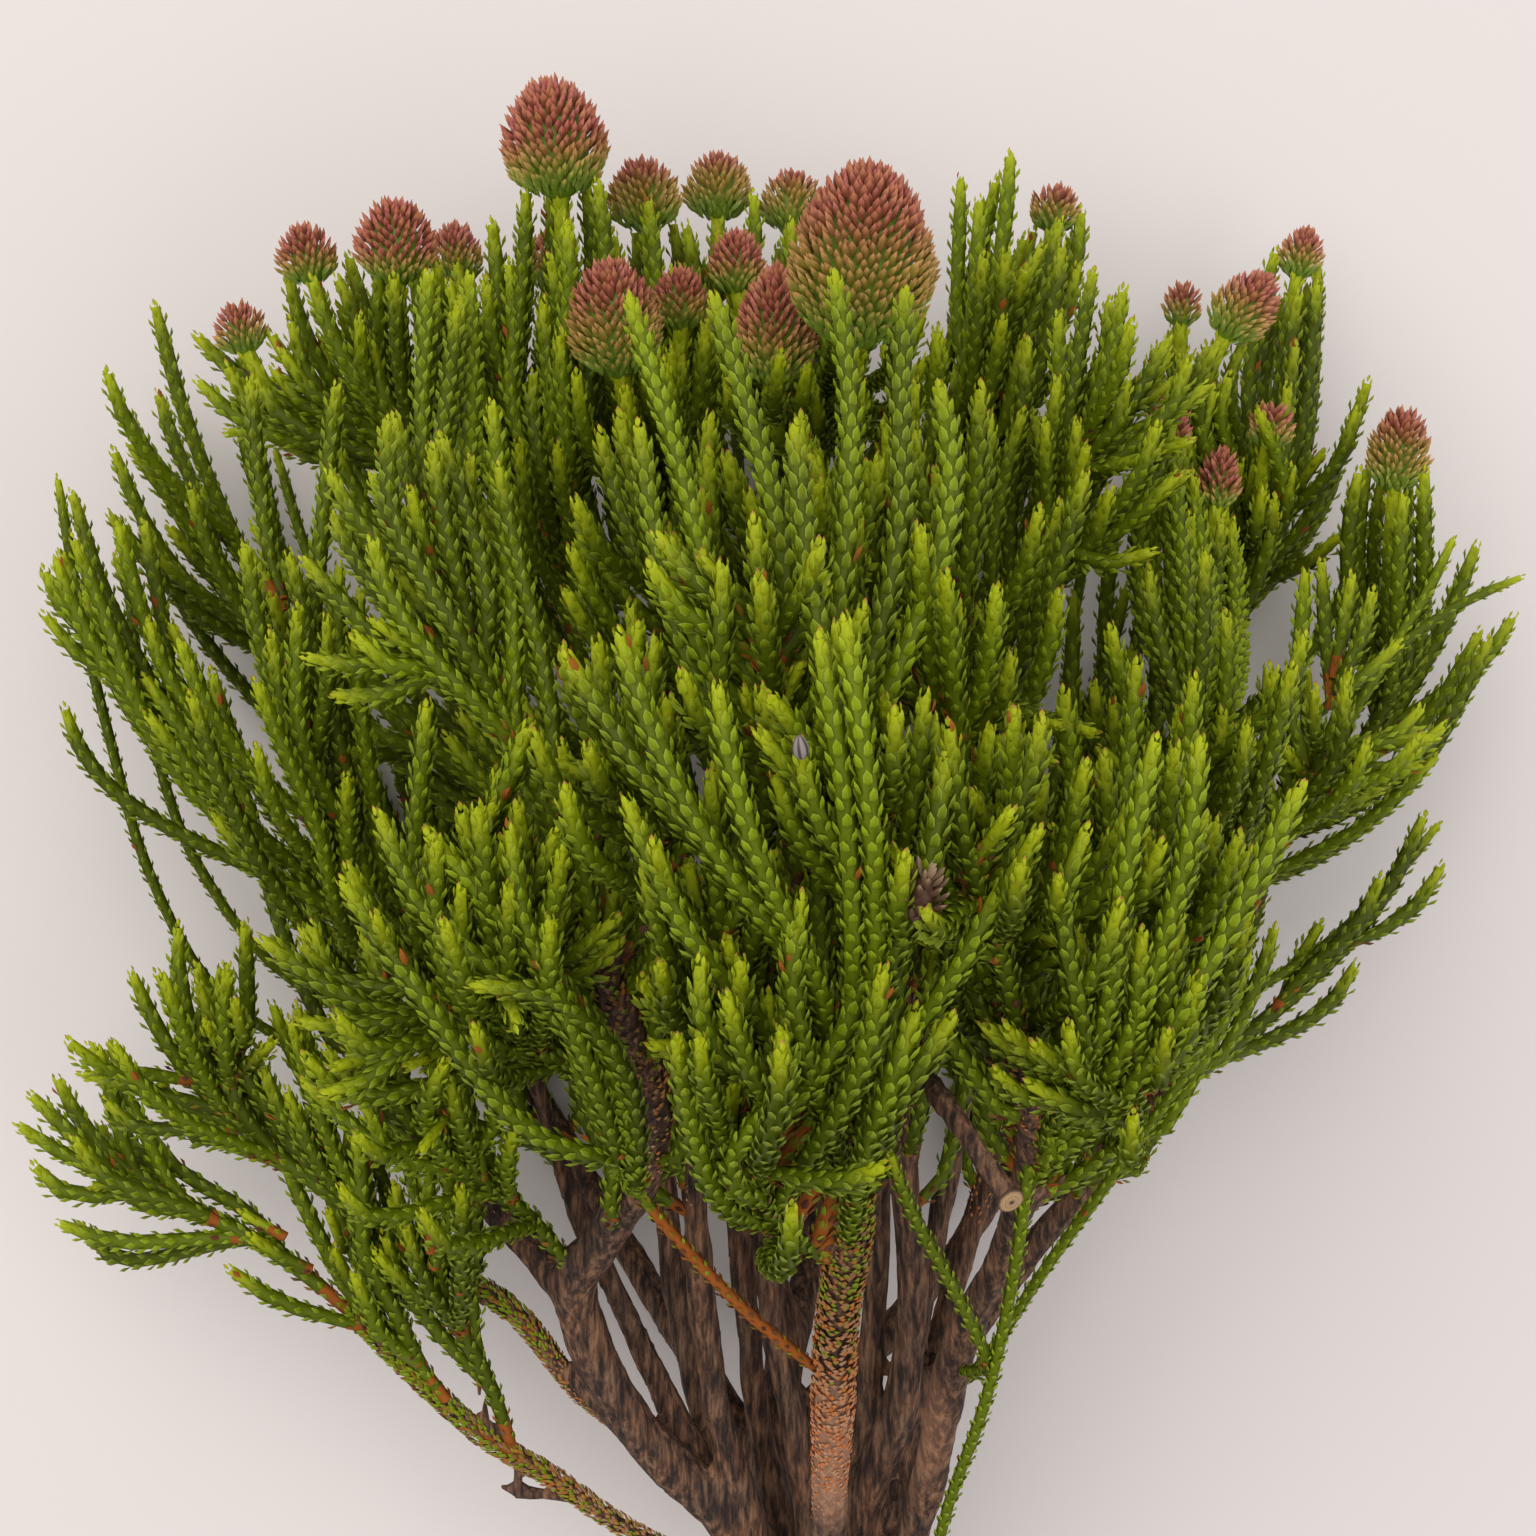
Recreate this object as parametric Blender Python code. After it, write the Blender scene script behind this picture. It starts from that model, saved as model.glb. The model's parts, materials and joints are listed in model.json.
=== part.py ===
"""A cut nebelia stem lying on its back: one forked woody stem, leafy sprays and round flower heads.

Lengths in the tables are millimetres. A place is written as (x, y, h): x runs to the right, y from the cut
end towards the shoot tips and h upwards from the middle of the bush. x and y are given as they look from an
eye SIGHT millimetres above that middle, so that a place near the eye is closer in than its numbers say.
"""

import math

import bmesh
import bpy
import numpy as np
from mathutils import Vector

MM = 0.001
SEED = 7
GAP = 0.3                       # between a stub and its spray, and between a stalk and its head
FLOOR = -70.0                   # height of the table under the middle of the bush
SIGHT = 330.0
SIGHT_X, SIGHT_Y = -4.3, 105.6
ORIGIN_X, ORIGIN_Y = -1.207, 33.632   # middle of the whole part's outline on the table

STUB_LENGTH, STUB_RADIUS = 5.0, 1.3
STUB_ANGLE = math.radians(45)   # between a limb and a stub on its side
SHOOT_REACH = 2.0               # from a shoot's middle to its leaf tips
SHOOT_CORE = 1.15               # from a shoot's middle to the foot of its leaves
TWIG_RADIUS = 1.0               # bare foot of a shoot
LEAF_STEP = 15.0                # from one whorl of large leaves to the next
FOOT_LENGTH, TIP_LENGTH = 4.0, 4.0  # a shoot swells to its full width, and narrows to its point
SHOOT_TAPER = 0.9               # reach of the last whorl
SHOOT_SIDES = 3
POINTS = 8                      # points that carry the line of one shoot
GOLDEN_ANGLE = math.radians(137.5)
WOOD_SKIP = 5                   # samples of a spray's foot that may lie near its own limb
TRUNK_BARE, SIDE_BARE = 7.0, 4.0    # leafless foot of a spray's middle shoot and of its side shoots
SETTLE_TURNS = 160
LIE_HEIGHT = 1.7                # a shoot on the table lies a little flattened
CROTCH = 14.0                   # shoots of one spray may touch this far from their feet
LOOK_AROUND = 5.5               # how much farther than touching the shoots look for neighbours
HEAD_FOOT, HEAD_TOP = 0.08, 0.9     # share of a head's height where its bracts start and end
BRACT_LIP, BRACT_SINK = 0.5, 0.82
WELD = 1e-6
TABLE_DEPTH = 20.0
CROWDED = 4.2                   # closest that the middles of two sprays' shoots may come

# Woody limbs: (x, y, h, radius) from the fork outwards
LIMBS = {
    "main": [(5, -93, -65.3, 4.9), (4, -62, -62, 4.7), (3, -34, -50, 4.7), (2, -12, -35, 5.6)],
    "left": [(2, -16, -35, 4.4), (-8, 3, -30, 3.6), (-22, 18, -24, 3.4), (-30, 35, -18, 3.3),
             (-26, 43, -12, 3.0), (-21, 52, -4, 2.8), (-20, 62, 6, 2.5), (-24, 73, 17, 2.1),
             (-28, 85, 26, 1.7)],
    "left_outer": [(-30, 35, -18, 2.6), (-41, 47, -22, 2.2), (-53, 61, -26, 1.9), (-62, 78, -28, 1.5)],
    "back_left": [(-3, -3, -34, 2.8), (-10, 11, -35, 2.3), (-16, 33, -37, 2.2), (-19, 55, -38, 2.0),
                  (-24, 80, -39, 1.8), (-30, 103, -38, 1.5)],
    "back_middle": [(3, -16, -37, 4.0), (-4, 11, -43, 3.6), (-2, 29, -46, 3.0), (-6, 43, -47, 2.5),
                    (-10, 56, -46, 2.2), (-8, 84, -44, 2.0), (-5, 112, -38, 1.6)],
    "front": [(3, -14, -31, 3.2), (3.7, 3.5, -18, 2.6), (4.3, 20, -3, 2.4), (5, 33, 10, 2.3),
              (7, 46, 22, 2.2), (6, 60, 33, 2.0), (2, 75, 41, 1.8), (0, 90, 45, 1.5)],
    "middle": [(4, -16, -35, 3.4), (7, 3.5, -34, 3.0), (13.5, 22, -30, 2.7), (15, 38, -27, 2.4),
               (14, 55, -24, 2.2), (18, 84, -20, 1.9), (24, 112, -16, 1.5)],
    "centre": [(16, 70, -22, 1.9), (10, 85, -4, 1.7), (6, 104, 8, 1.4)],
    "right_front": [(5, -14, -33, 3.2), (15, 3.5, -20, 2.7), (21, 28, -2, 2.4), (27, 41, 8, 2.2),
                    (31, 55, 21, 2.0), (29.5, 68, 33, 1.7)],
    "right": [(9, -6, -30, 2.8), (15, 6, -34, 2.7), (19, 24, -33, 2.5), (29, 39, -29, 2.3),
              (40, 52, -25, 2.1), (52, 67, -22, 1.8), (59, 84, -20, 1.5)],
    "low_left": [(-3, -5, -33, 2.5), (-21, 3, -32, 1.8), (-33, 11, -30, 1.5), (-44, 18, -29, 1.4),
                 (-60, 33, -29, 1.3)],
    "low_side": [(-20, 16, -25, 2.0), (-29, 22, -24, 1.8), (-38, 33, -24, 1.6), (-48, 39, -24, 1.4),
                 (-55, 43, -24, 1.3)],
    "inner_left": [(2, -14, -36, 2.4), (-9, 12, -27, 2.2), (-13, 34, -23, 2.0), (-15, 56, -20, 1.8),
                   (-20, 76, -14, 1.4)],
    "inner_middle": [(3, -14, -37, 2.4), (0, 14, -33, 2.2), (-4, 36, -32, 2.0), (0, 58, -32, 1.8),
                     (4, 76, -30, 1.4)],
    "inner_right": [(5, -12, -34, 2.4), (12, 10, -40, 2.2), (19, 32, -43, 2.0), (25, 52, -43, 1.8),
                    (30, 72, -42, 1.4)],
    "under_left": [(-4, 12, -44, 2.6), (-21, 38, -58, 2.3), (-36, 64, -68.4, 2.1), (-48, 86, -68.5, 2.0)],
    "under_middle": [(-2, 26, -46, 2.6), (3, 48, -60, 2.3), (5, 72, -68.3, 2.2), (5, 92, -68.4, 2.0),
                     (4, 112, -64, 1.6)],
    "under_right": [(-3, 16, -44, 2.6), (20, 40, -58, 2.3), (35, 68, -68.4, 2.1), (46, 94, -68.5, 2.0)],
    "trimmed_twig": [(15, 68, -22, 1.6), (16, 67, 5, 1.5), (17, 64, 28, 1.5), (22, 57, 35, 1.5),
                     (28, 48, 37, 1.55)],
}

# Leafy sprays: name, limb, share of the way along it, tip (x, y, h), shoots, width of the bunch
SPRAYS = [
    ("spray_low_left", "low_left", 1.0, (-99, 64, -38), 7, 20),
    ("spray_low_left_twig", "low_left", 0.62, (-54, 50, -14), 4, 10),
    ("spray_low_side", "low_side", 1.0, (-89, 78, -20), 9, 26),
    ("spray_left_elbow", "left", 0.40, (-57, 68, 12), 7, 22),
    ("spray_left_front", "left", 0.68, (-60, 92, 22), 9, 30),
    ("spray_left_near", "left", 0.76, (-43, 100, 44), 7, 18),
    ("spray_left_arc", "left_outer", 1.0, (-97, 142, -25), 7, 18),
    ("spray_left_edge", "under_left", 1.0, (-86, 167, -46), 8, 28),
    ("spray_left_middle", "left_outer", 0.72, (-74, 135, 5), 9, 26),
    ("spray_left_inner", "left", 1.0, (-54, 152, 18), 9, 26),
    ("spray_top_left", "back_left", 1.0, (-61, 173, -24), 8, 24),
    ("spray_top_left_inner", "back_left", 0.9, (-41, 178, -12), 7, 22),
    ("spray_front_left", "left", 0.93, (-27, 122, 50), 8, 20),
    ("spray_front_low", "front", 0.50, (-1, 84, 60), 7, 22),
    ("spray_front", "front", 0.80, (5, 124, 66), 9, 20),
    ("spray_front_upper", "front", 1.0, (-6, 138, 56), 9, 22),
    ("spray_front_side", "front", 0.64, (-12, 104, 56), 7, 16),
    ("spray_front_right", "right_front", 1.0, (19, 111, 64), 8, 20),
    ("spray_front_right_upper", "centre", 0.45, (16, 137, 50), 9, 22),
    ("spray_centre_left", "centre", 0.80, (-24, 152, 30), 9, 24),
    ("spray_centre", "centre", 1.0, (0, 152, 26), 9, 24),
    ("spray_centre_right", "middle", 0.88, (24, 156, 22), 9, 24),
    ("spray_crown_left", "back_middle", 0.92, (-17, 172, -16), 5, 22),
    ("spray_crown", "back_middle", 1.0, (6, 174, -20), 7, 24),
    ("spray_crown_right", "middle", 1.0, (43, 169, 0), 9, 24),
    ("spray_top_right", "middle", 0.94, (28, 187, -24), 8, 20),
    ("spray_right_near", "right_front", 0.76, (38, 106, 52), 8, 18),
    ("spray_right_low", "right_front", 0.68, (43, 86, 46), 7, 16),
    ("spray_right_front", "right", 0.62, (50, 108, 36), 8, 22),
    ("spray_right_middle", "right", 0.86, (54, 134, 12), 9, 26),
    ("spray_right", "right", 1.0, (73, 118, -14), 9, 28),
    ("spray_right_arc", "right", 0.74, (83, 99, -34), 4, 14),
    ("spray_right_edge", "under_right", 0.86, (90, 135, -46), 7, 22),
    ("spray_far_right", "under_right", 1.0, (66, 162, -42), 7, 26),
    ("spray_under_left", "under_left", 0.62, (-62, 112, -64), 5, 24),
    ("spray_under_middle", "under_middle", 1.0, (-18, 168, -58), 7, 28),
    ("spray_under_right", "under_middle", 0.9, (28, 164, -58), 7, 28),
]

# Flower heads: name, spray, middle (x, y, h), width, height, lean to the right and towards the eye
HEADS = [
    ("head_top_left", "spray_top_left_inner", (-33, 191, -6), 14, 15, -0.1, 0.2),
    ("head_front", "spray_crown", (8.5, 176, 22), 18, 21, 0.05, 0.35),
    ("head_left_high", "spray_top_left", (-66, 175, -20), 8.5, 8.5, -0.2, 0.2),
    ("head_left_dark", "spray_top_left", (-54, 177, -8), 11, 11, 0.0, 0.3),
    ("head_left_low", "spray_top_left", (-75, 165, -25), 7.5, 7.5, -0.3, 0.1),
    ("head_left_back", "spray_top_left_inner", (-46, 175, -34), 8, 9, -0.1, 0.0),
    ("head_left_hidden", "spray_top_left_inner", (-33, 174, -34), 8, 9, 0.1, 0.0),
    ("head_crown_left", "spray_crown_left", (-25, 167, 6), 12, 14.5, -0.1, 0.3),
    ("head_crown_small", "spray_crown_left", (-16, 169, -10), 8, 8.5, 0.0, 0.2),
    ("head_crown_back", "spray_crown_left", (-21, 183, -22), 10.5, 10, -0.1, 0.1),
    ("head_crown_middle", "spray_crown", (-8.5, 174, -20), 8, 9, 0.0, 0.1),
    ("head_crown_tall", "spray_crown", (-3, 166, 4), 10.5, 15, 0.05, 0.2),
    ("head_crown_far", "spray_crown_left", (-11, 184, -34), 10, 9.5, 0.0, 0.0),
    ("head_crown_right", "spray_crown", (-1, 182, -38), 9.5, 9, 0.1, 0.0),
    ("head_top_right", "spray_top_right", (34, 181, -32), 7.5, 7, 0.1, 0.1),
    ("head_right_high", "spray_far_right", (67, 175, -50), 7, 8, 0.2, 0.0),
    ("head_right_lean", "spray_far_right", (60, 168, -30), 9, 11, 0.7, 0.1),
    ("head_right_small", "spray_far_right", (51, 168, -48), 6, 7, 0.1, 0.0),
    ("head_right_dark", "spray_right_middle", (49, 152, -14), 6.5, 9, 0.0, 0.2),
    ("head_right_dark_low", "spray_right_middle", (56, 145, -26), 6, 9, 0.1, 0.1),
    ("head_right_round", "spray_far_right", (63, 152, -30), 6.5, 7, 0.2, 0.1),
    ("head_right_stalked", "spray_right_edge", (80, 149, -28), 9, 11.5, 0.1, 0.2),
]


def place(x, y, h):
    """Millimetres in the part's own frame, for a place as it looks from the eye."""
    near = 1 - h / SIGHT
    return np.array((SIGHT_X + (x - SIGHT_X) * near, SIGHT_Y + (y - SIGHT_Y) * near, h))


def unit(vector):
    return vector / np.linalg.norm(vector)


def along(path, share):
    """The place at a share of a path's points, with the path's direction there."""
    spot = min(max(share, 0.0), 1.0) * (len(path) - 1)
    first = min(int(spot), len(path) - 2)
    rest = spot - first
    return path[first] * (1 - rest) + path[first + 1] * rest, unit((path[first + 1] - path[first])[:3])


def smooth(points, per_span):
    """Catmull-Rom curve through the rows of points, which may carry a radius too."""
    rows = np.vstack((2 * points[0] - points[1], points, 2 * points[-1] - points[-2]))
    curve = []
    for first in range(len(points) - 1):
        a, b, c, d = rows[first:first + 4]
        for step in range(per_span):
            t = step / per_span
            curve.append(0.5 * (2 * b + (c - a) * t + (2 * a - 5 * b + 4 * c - d) * t * t
                                + (3 * b - a - 3 * c + d) * t ** 3))
    return np.array(curve + [points[-1]])


def bezier(start, out, end, into, count):
    """Cubic curve from start, leaving along out, to end, arriving along into."""
    t = np.linspace(0, 1, count)[:, None]
    pull = np.linalg.norm(end - start) * 0.38
    a, b = start + unit(out) * pull, end - unit(into) * pull
    return (1 - t) ** 3 * start + 3 * (1 - t) ** 2 * t * a + 3 * (1 - t) * t * t * b + t ** 3 * end


def limb_paths():
    """Each limb's middle line, with its radius as the fourth number."""
    paths = {}
    for name, points in LIMBS.items():
        rows = np.array([(*place(x, y, h), radius) for x, y, h, radius in points])
        paths[name] = smooth(rows, 2) if len(points) < 5 else rows
    return paths


def across(direction):
    """Two directions at right angles to the given one."""
    side = unit(np.cross(direction, (0.0, 0.3, 1.0)))
    return side, np.cross(direction, side)


def spray_stub(limbs, limb, share, tip):
    """Start, end and direction of the woody stub that carries a spray."""
    centre, forward = along(limbs[limb], share)
    towards = unit(tip - centre[:3])
    direction = unit(0.55 * forward + 0.45 * towards)
    if share < 1:
        sideways = unit(towards - forward * forward.dot(towards))
        direction = unit(forward * math.cos(STUB_ANGLE) + sideways * math.sin(STUB_ANGLE))
    return centre[:3], centre[:3] + direction * (centre[3] + STUB_LENGTH), direction


def head_axis(head):
    """Foot and direction of a flower head."""
    _, _, middle, _, height, lean, rise = head
    direction = unit(np.array((lean, 1.0, rise)))
    return place(*middle) - direction * height / 2, direction


def grow_strands(limbs):
    """The line of every shoot before the shoots make room for each other.

    A strand knows its spray, its parent strand, the share of the parent where it starts, and the head
    that it carries, if any.
    """
    draw = np.random.default_rng(SEED)
    strands = []
    for name, limb, share, tip, shoots, width in SPRAYS:
        tip = place(*tip)
        _, stub_end, direction = spray_stub(limbs, limb, share, tip)
        root = stub_end + direction * GAP
        rise = unit(unit(tip - root) + np.array((0.0, 1.1, -0.1)))
        axis = len(strands)
        path = bezier(root, direction, tip, rise, POINTS)
        strands.append(dict(spray=name, parent=-1, share=0.0, path=path, head=None))
        length = np.linalg.norm(tip - root)
        turn = draw.uniform(0, 2 * math.pi)
        for number in range(1, shoots):
            start_share = 0.10 + 0.52 * (number - 1) / max(shoots - 2, 1)
            start, forward = along(path, start_share)
            turn += GOLDEN_ANGLE
            side, over = across(forward)
            outward = side * math.cos(turn) + over * math.sin(turn)
            spread = width / 2 * draw.uniform(0.75, 1.1)
            short = length * (0.36 - 0.45 * start_share) * draw.uniform(0.5, 1.4)
            end = tip + outward * spread - rise * short
            arrive = unit(rise + outward * draw.uniform(0.0, 0.2))
            leave = unit(forward + outward * 0.6)
            strands.append(dict(spray=name, parent=axis, share=start_share, head=None,
                                path=bezier(start, leave, end, arrive, POINTS)))
        for head in HEADS:
            if head[1] == name:
                foot, upward = head_axis(head)
                start, forward = along(path, 0.5)
                strands.append(dict(spray=name, parent=axis, share=0.5, head=head[0],
                                    path=bezier(start, forward, foot - upward * GAP, upward, POINTS)))
    return strands


def wood_balls(limbs):
    """Balls along the limbs and stubs, which the shoots keep clear of: centres and radii."""
    rows = [row for path in limbs.values() for row in smooth(path, 4)]
    return np.array(rows)[:, :3], np.array(rows)[:, 3]


def head_balls():
    """Three balls along each flower head: centres, radii and the head's name."""
    centres, radii, names = [], [], []
    for head in HEADS:
        foot, upward = head_axis(head)
        width, height = head[3], head[4]
        for share in (0.35, 0.5, 0.65):
            centres.append(foot + upward * height * share)
            radii.append(width / 2)
            names.append(head[0])
    return np.array(centres), np.array(radii), np.array(names)


def near_pairs(first, second, reach):
    """Index pairs of the places that lie nearer to each other than reach."""
    square = (first ** 2).sum(1)[:, None] + (second ** 2).sum(1)[None] - 2 * first @ second.T
    return np.nonzero(square < reach * reach)


def with_middles(line):
    """The points of every line, with the middle of each span between them."""
    dense = np.empty((len(line), 2 * POINTS - 1, 3))
    dense[:, 0::2] = line
    dense[:, 1::2] = (line[:, :-1] + line[:, 1:]) / 2
    return dense.reshape(-1, 3)


def neighbours(spots, strands, from_foot, obstacles):
    """Who may touch whom: rows of moving spots, what hinders them, the distance needed, their share."""
    (wood, wood_radius), (ball, ball_radius, ball_name) = obstacles
    samples = 2 * POINTS - 1
    owner = np.repeat(np.arange(len(strands)), samples)
    spray = np.array([strand["spray"] for strand in strands])
    side_shoot = np.array([strand["parent"] >= 0 for strand in strands])
    carried = np.array([strand["head"] or "" for strand in strands])

    first, second = near_pairs(spots, spots, 2 * SHOOT_REACH + LOOK_AROUND)
    keep = (first < second) & (owner[first] != owner[second])
    kin = spray[owner[first]] == spray[owner[second]]
    keep &= ~(kin & (np.minimum(from_foot[first], from_foot[second]) < CROTCH))
    first, second, kin = first[keep], second[keep], kin[keep]
    clear = (2 * SHOOT_REACH + GAP) * np.where(kin, 0.95, 1.08)

    on_wood, wood_hit = near_pairs(spots, wood, SHOOT_REACH + wood_radius.max() + LOOK_AROUND)
    keep = side_shoot[owner[on_wood]] | (from_foot[on_wood] > 9)
    on_wood, wood_hit = on_wood[keep], wood_hit[keep]
    on_head, head_hit = near_pairs(spots, ball, SHOOT_REACH + ball_radius.max() + LOOK_AROUND)
    keep = carried[owner[on_head]] != ball_name[head_hit]
    on_head, head_hit = on_head[keep], head_hit[keep]
    fixed = np.vstack((wood[wood_hit], ball[head_hit]))
    fixed_need = SHOOT_REACH + 2 * GAP + np.concatenate((wood_radius[wood_hit], ball_radius[head_hit]))
    return (first, second, clear), (np.concatenate((on_wood, on_head)), fixed, fixed_need)


def shoved(spots, pairs, stops):
    """The move of every spot away from the spots, wood and heads that are too near."""
    push = np.zeros_like(spots)
    hits = np.zeros(len(spots))
    (first, second, clear), (movers, fixed, fixed_need) = pairs, stops
    for who, hinder, needed, share in ((first, spots[second], clear, 0.5),
                                       (second, spots[first], clear, 0.5),
                                       (movers, fixed, fixed_need, 1.0)):
        away = spots[who] - hinder
        far = np.linalg.norm(away, axis=1)
        short = np.maximum(needed - far, 0)
        np.add.at(push, who, away / np.maximum(far, 1e-6)[:, None] * (short * share)[:, None])
        np.add.at(hits, who, (short > 0).astype(float))
    push /= np.maximum(hits, 1.0)[:, None]
    return push.reshape(-1, 2 * POINTS - 1, 3)


def settle(strands, limbs):
    """Bend the shoots apart, and off the wood, the heads and the table."""
    home = np.array([strand["path"] for strand in strands])
    line = home.copy()
    steps = np.linalg.norm(np.diff(home, axis=1), axis=2)
    bend = home[:, 1:-1] - (home[:, :-2] + home[:, 2:]) / 2
    trunk = np.array([strand["parent"] < 0 for strand in strands])
    stalk = np.array([strand["head"] is not None for strand in strands])
    samples = 2 * POINTS - 1
    from_foot = np.tile(np.arange(samples), len(strands)) * np.repeat(steps.mean(axis=1), samples) / 2
    obstacles = wood_balls(limbs), head_balls()
    for turn in range(SETTLE_TURNS):
        spots = with_middles(line)
        if turn % 8 == 0:
            pairs, stops = neighbours(spots, strands, from_foot, obstacles)
        push = shoved(spots, pairs, stops)
        line += push[:, 0::2] * 0.8
        line[:, :-1] += push[:, 1::2] * 0.48
        line[:, 1:] += push[:, 1::2] * 0.48
        if turn < SETTLE_TURNS * 0.75:
            line += (home - line) * 0.03
        line[:, 1:-1] += ((line[:, :-2] + line[:, 2:]) / 2 + bend - line[:, 1:-1]) * 0.25
        line[..., 2] = np.maximum(line[..., 2], FLOOR + LIE_HEIGHT)
        line[stalk, -2:] = home[stalk, -2:]
        line[trunk, :2] = home[trunk, :2]
        for number in np.nonzero(~trunk)[0]:
            line[number, 0], _ = along(line[strands[number]["parent"]], strands[number]["share"])
        line[~trunk, 1] = line[~trunk, 0] + (home[~trunk, 1] - home[~trunk, 0])
        for step in range(2, POINTS):
            span = line[~stalk, step] - line[~stalk, step - 1]
            span *= (steps[~stalk, step - 1] / np.linalg.norm(span, axis=1))[:, None]
            line[~stalk, step] = line[~stalk, step - 1] + span
        line[..., 2] = np.maximum(line[..., 2], FLOOR + LIE_HEIGHT)
    for strand, path in zip(strands, line):
        strand["path"] = path
    return strands


def crowded_pairs(strands, limbs):
    """Which shoots touch the wood or a strange flower head, and which pairs of sprays' shoots touch."""
    share = np.linspace(0, POINTS - 1, 3 * POINTS - 2)
    lines = np.array([[along(s["path"], spot / (POINTS - 1))[0] for spot in share] for s in strands])
    wood, wood_radius = wood_balls(limbs)
    ball, ball_radius, ball_name = head_balls()
    alone, pairs = set(), set()
    for number, strand in enumerate(strands):
        spots = lines[number]
        skip = 0 if strand["parent"] >= 0 else WOOD_SKIP
        off_wood = np.linalg.norm(wood[None] - spots[skip:, None], axis=2) - wood_radius
        strange = ball_name != (strand["head"] or "")
        off_heads = np.linalg.norm(ball[strange][None] - spots[:, None], axis=2) - ball_radius[strange]
        if min(off_wood.min(), off_heads.min()) < SHOOT_REACH:
            alone.add(number)
        for other in range(number):
            if strands[other]["spray"] != strand["spray"]:
                square = ((spots[:, None] - lines[other][None]) ** 2).sum(axis=2)
                if square.min() < CROWDED ** 2:
                    pairs.add((other, number))
    return alone, pairs


def thin_out(strands, limbs):
    """Leave out the side shoots that found no room, the most crowded first."""
    alone, pairs = crowded_pairs(strands, limbs)
    spare = {i for i, strand in enumerate(strands) if strand["parent"] >= 0 and strand["head"] is None}
    dropped = alone & spare
    while True:
        open_pairs = [pair for pair in pairs if not dropped & set(pair)]
        crowd = [number for pair in open_pairs for number in pair if number in spare]
        if not crowd:
            break
        dropped.add(max(sorted(set(crowd)), key=crowd.count))
    return [strand for number, strand in enumerate(strands) if number not in dropped]


def track(path):
    """Length of a path, and a function from a distance along it to the place and two cross directions."""
    curve = smooth(path, 4)
    gone = np.concatenate(([0], np.cumsum(np.linalg.norm(np.diff(curve, axis=0), axis=1))))
    forward = np.gradient(curve, axis=0)
    sides = []
    side, _ = across(unit(forward[0]))
    for direction in forward:
        direction = unit(direction)
        side = unit(side - direction * side.dot(direction))
        sides.append(side)
    over = np.cross(forward, sides)
    over /= np.linalg.norm(over, axis=1)[:, None]

    def at(distance):
        return [np.array([np.interp(distance, gone, rows[:, axis]) for axis in range(3)])
                for rows in (curve, np.array(sides), over)]

    return gone[-1], at


def loft(path, sections, sides, tip=None):
    """Closed mesh through (distance, radius, turn) sections, ending in a point at the distance tip."""
    _, at = track(path)
    mesh = bmesh.new()
    rings = []
    for distance, radius, turn in sections:
        centre, side, over = at(distance)
        angles = [turn + 2 * math.pi * number / sides for number in range(sides)]
        rings.append([mesh.verts.new(Vector((centre + (side * math.cos(angle) + over * math.sin(angle))
                                             * radius) * MM)) for angle in angles])
    mesh.faces.new(reversed(rings[0]))
    for low, high in zip(rings, rings[1:]):
        for number in range(sides):
            after = (number + 1) % sides
            mesh.faces.new((low[number], low[after], high[number]))
            mesh.faces.new((low[after], high[after], high[number]))
    if tip is None:
        mesh.faces.new(rings[-1])
    else:
        point = mesh.verts.new(Vector(at(tip)[0] * MM))
        for number in range(sides):
            mesh.faces.new((rings[-1][number], rings[-1][(number + 1) % sides], point))
    bmesh.ops.triangulate(mesh, faces=mesh.faces)
    bmesh.ops.recalc_face_normals(mesh, faces=mesh.faces)
    return mesh


def shoot_mesh(strand):
    """One shoot: a bare foot, then whorls of three large leaves, each whorl turned to cover the last."""
    length, _ = track(strand["path"])
    trunk = strand["parent"] < 0
    bare = TRUNK_BARE if trunk else SIDE_BARE
    first, last = bare + FOOT_LENGTH, length - TIP_LENGTH
    gaps = max(1, round((last - first) / LEAF_STEP))
    half_side = math.pi / SHOOT_SIDES
    sections = [(0.0, STUB_RADIUS, 0.0), (bare, TWIG_RADIUS, half_side)]
    if not trunk:
        sections = [(0.0, TWIG_RADIUS, half_side)]
    for whorl in range(gaps + 1):
        reach = SHOOT_REACH * (SHOOT_TAPER if whorl == gaps else 1)
        sections.append((first + (last - first) * whorl / gaps, reach, (whorl + 2) * half_side))
    if strand["head"] is None:
        return loft(strand["path"], sections, SHOOT_SIDES, tip=length)
    sections.append((length, SHOOT_CORE, (gaps + 3) * half_side))
    return loft(strand["path"], sections, SHOOT_SIDES)


def head_mesh(head):
    """One flower head: whorls of pointed bracts on a ball that is flattened at its foot."""
    foot, upward = head_axis(head)
    width, height = head[3], head[4]
    sides, whorls = (9, 5) if width > 13 else (7, 4) if width > 8 else (6, 3)
    half_side = math.pi / sides

    def swell(share):
        """Radius of the ball at a share of its height."""
        return width / 2 * math.sqrt(max(1 - (2 * share - 1) ** 2, 0.0))

    def above_foot(share):
        return (share - HEAD_FOOT) / (1 - HEAD_FOOT) * height

    sections = []
    for whorl in range(whorls):
        low = HEAD_FOOT + (HEAD_TOP - HEAD_FOOT) * whorl / whorls
        high = HEAD_FOOT + (HEAD_TOP - HEAD_FOOT) * (whorl + 1) / whorls
        lip = BRACT_LIP if whorl else 0.0
        sections.append((above_foot(low) + lip, swell(low) * BRACT_SINK, whorl * half_side))
        sections.append((above_foot(high), swell(high), (whorl + 1) * half_side))
    path = np.array([foot + upward * height * share for share in (0, 0.5, 1)])
    return loft(path, sections, sides, tip=height)


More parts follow.
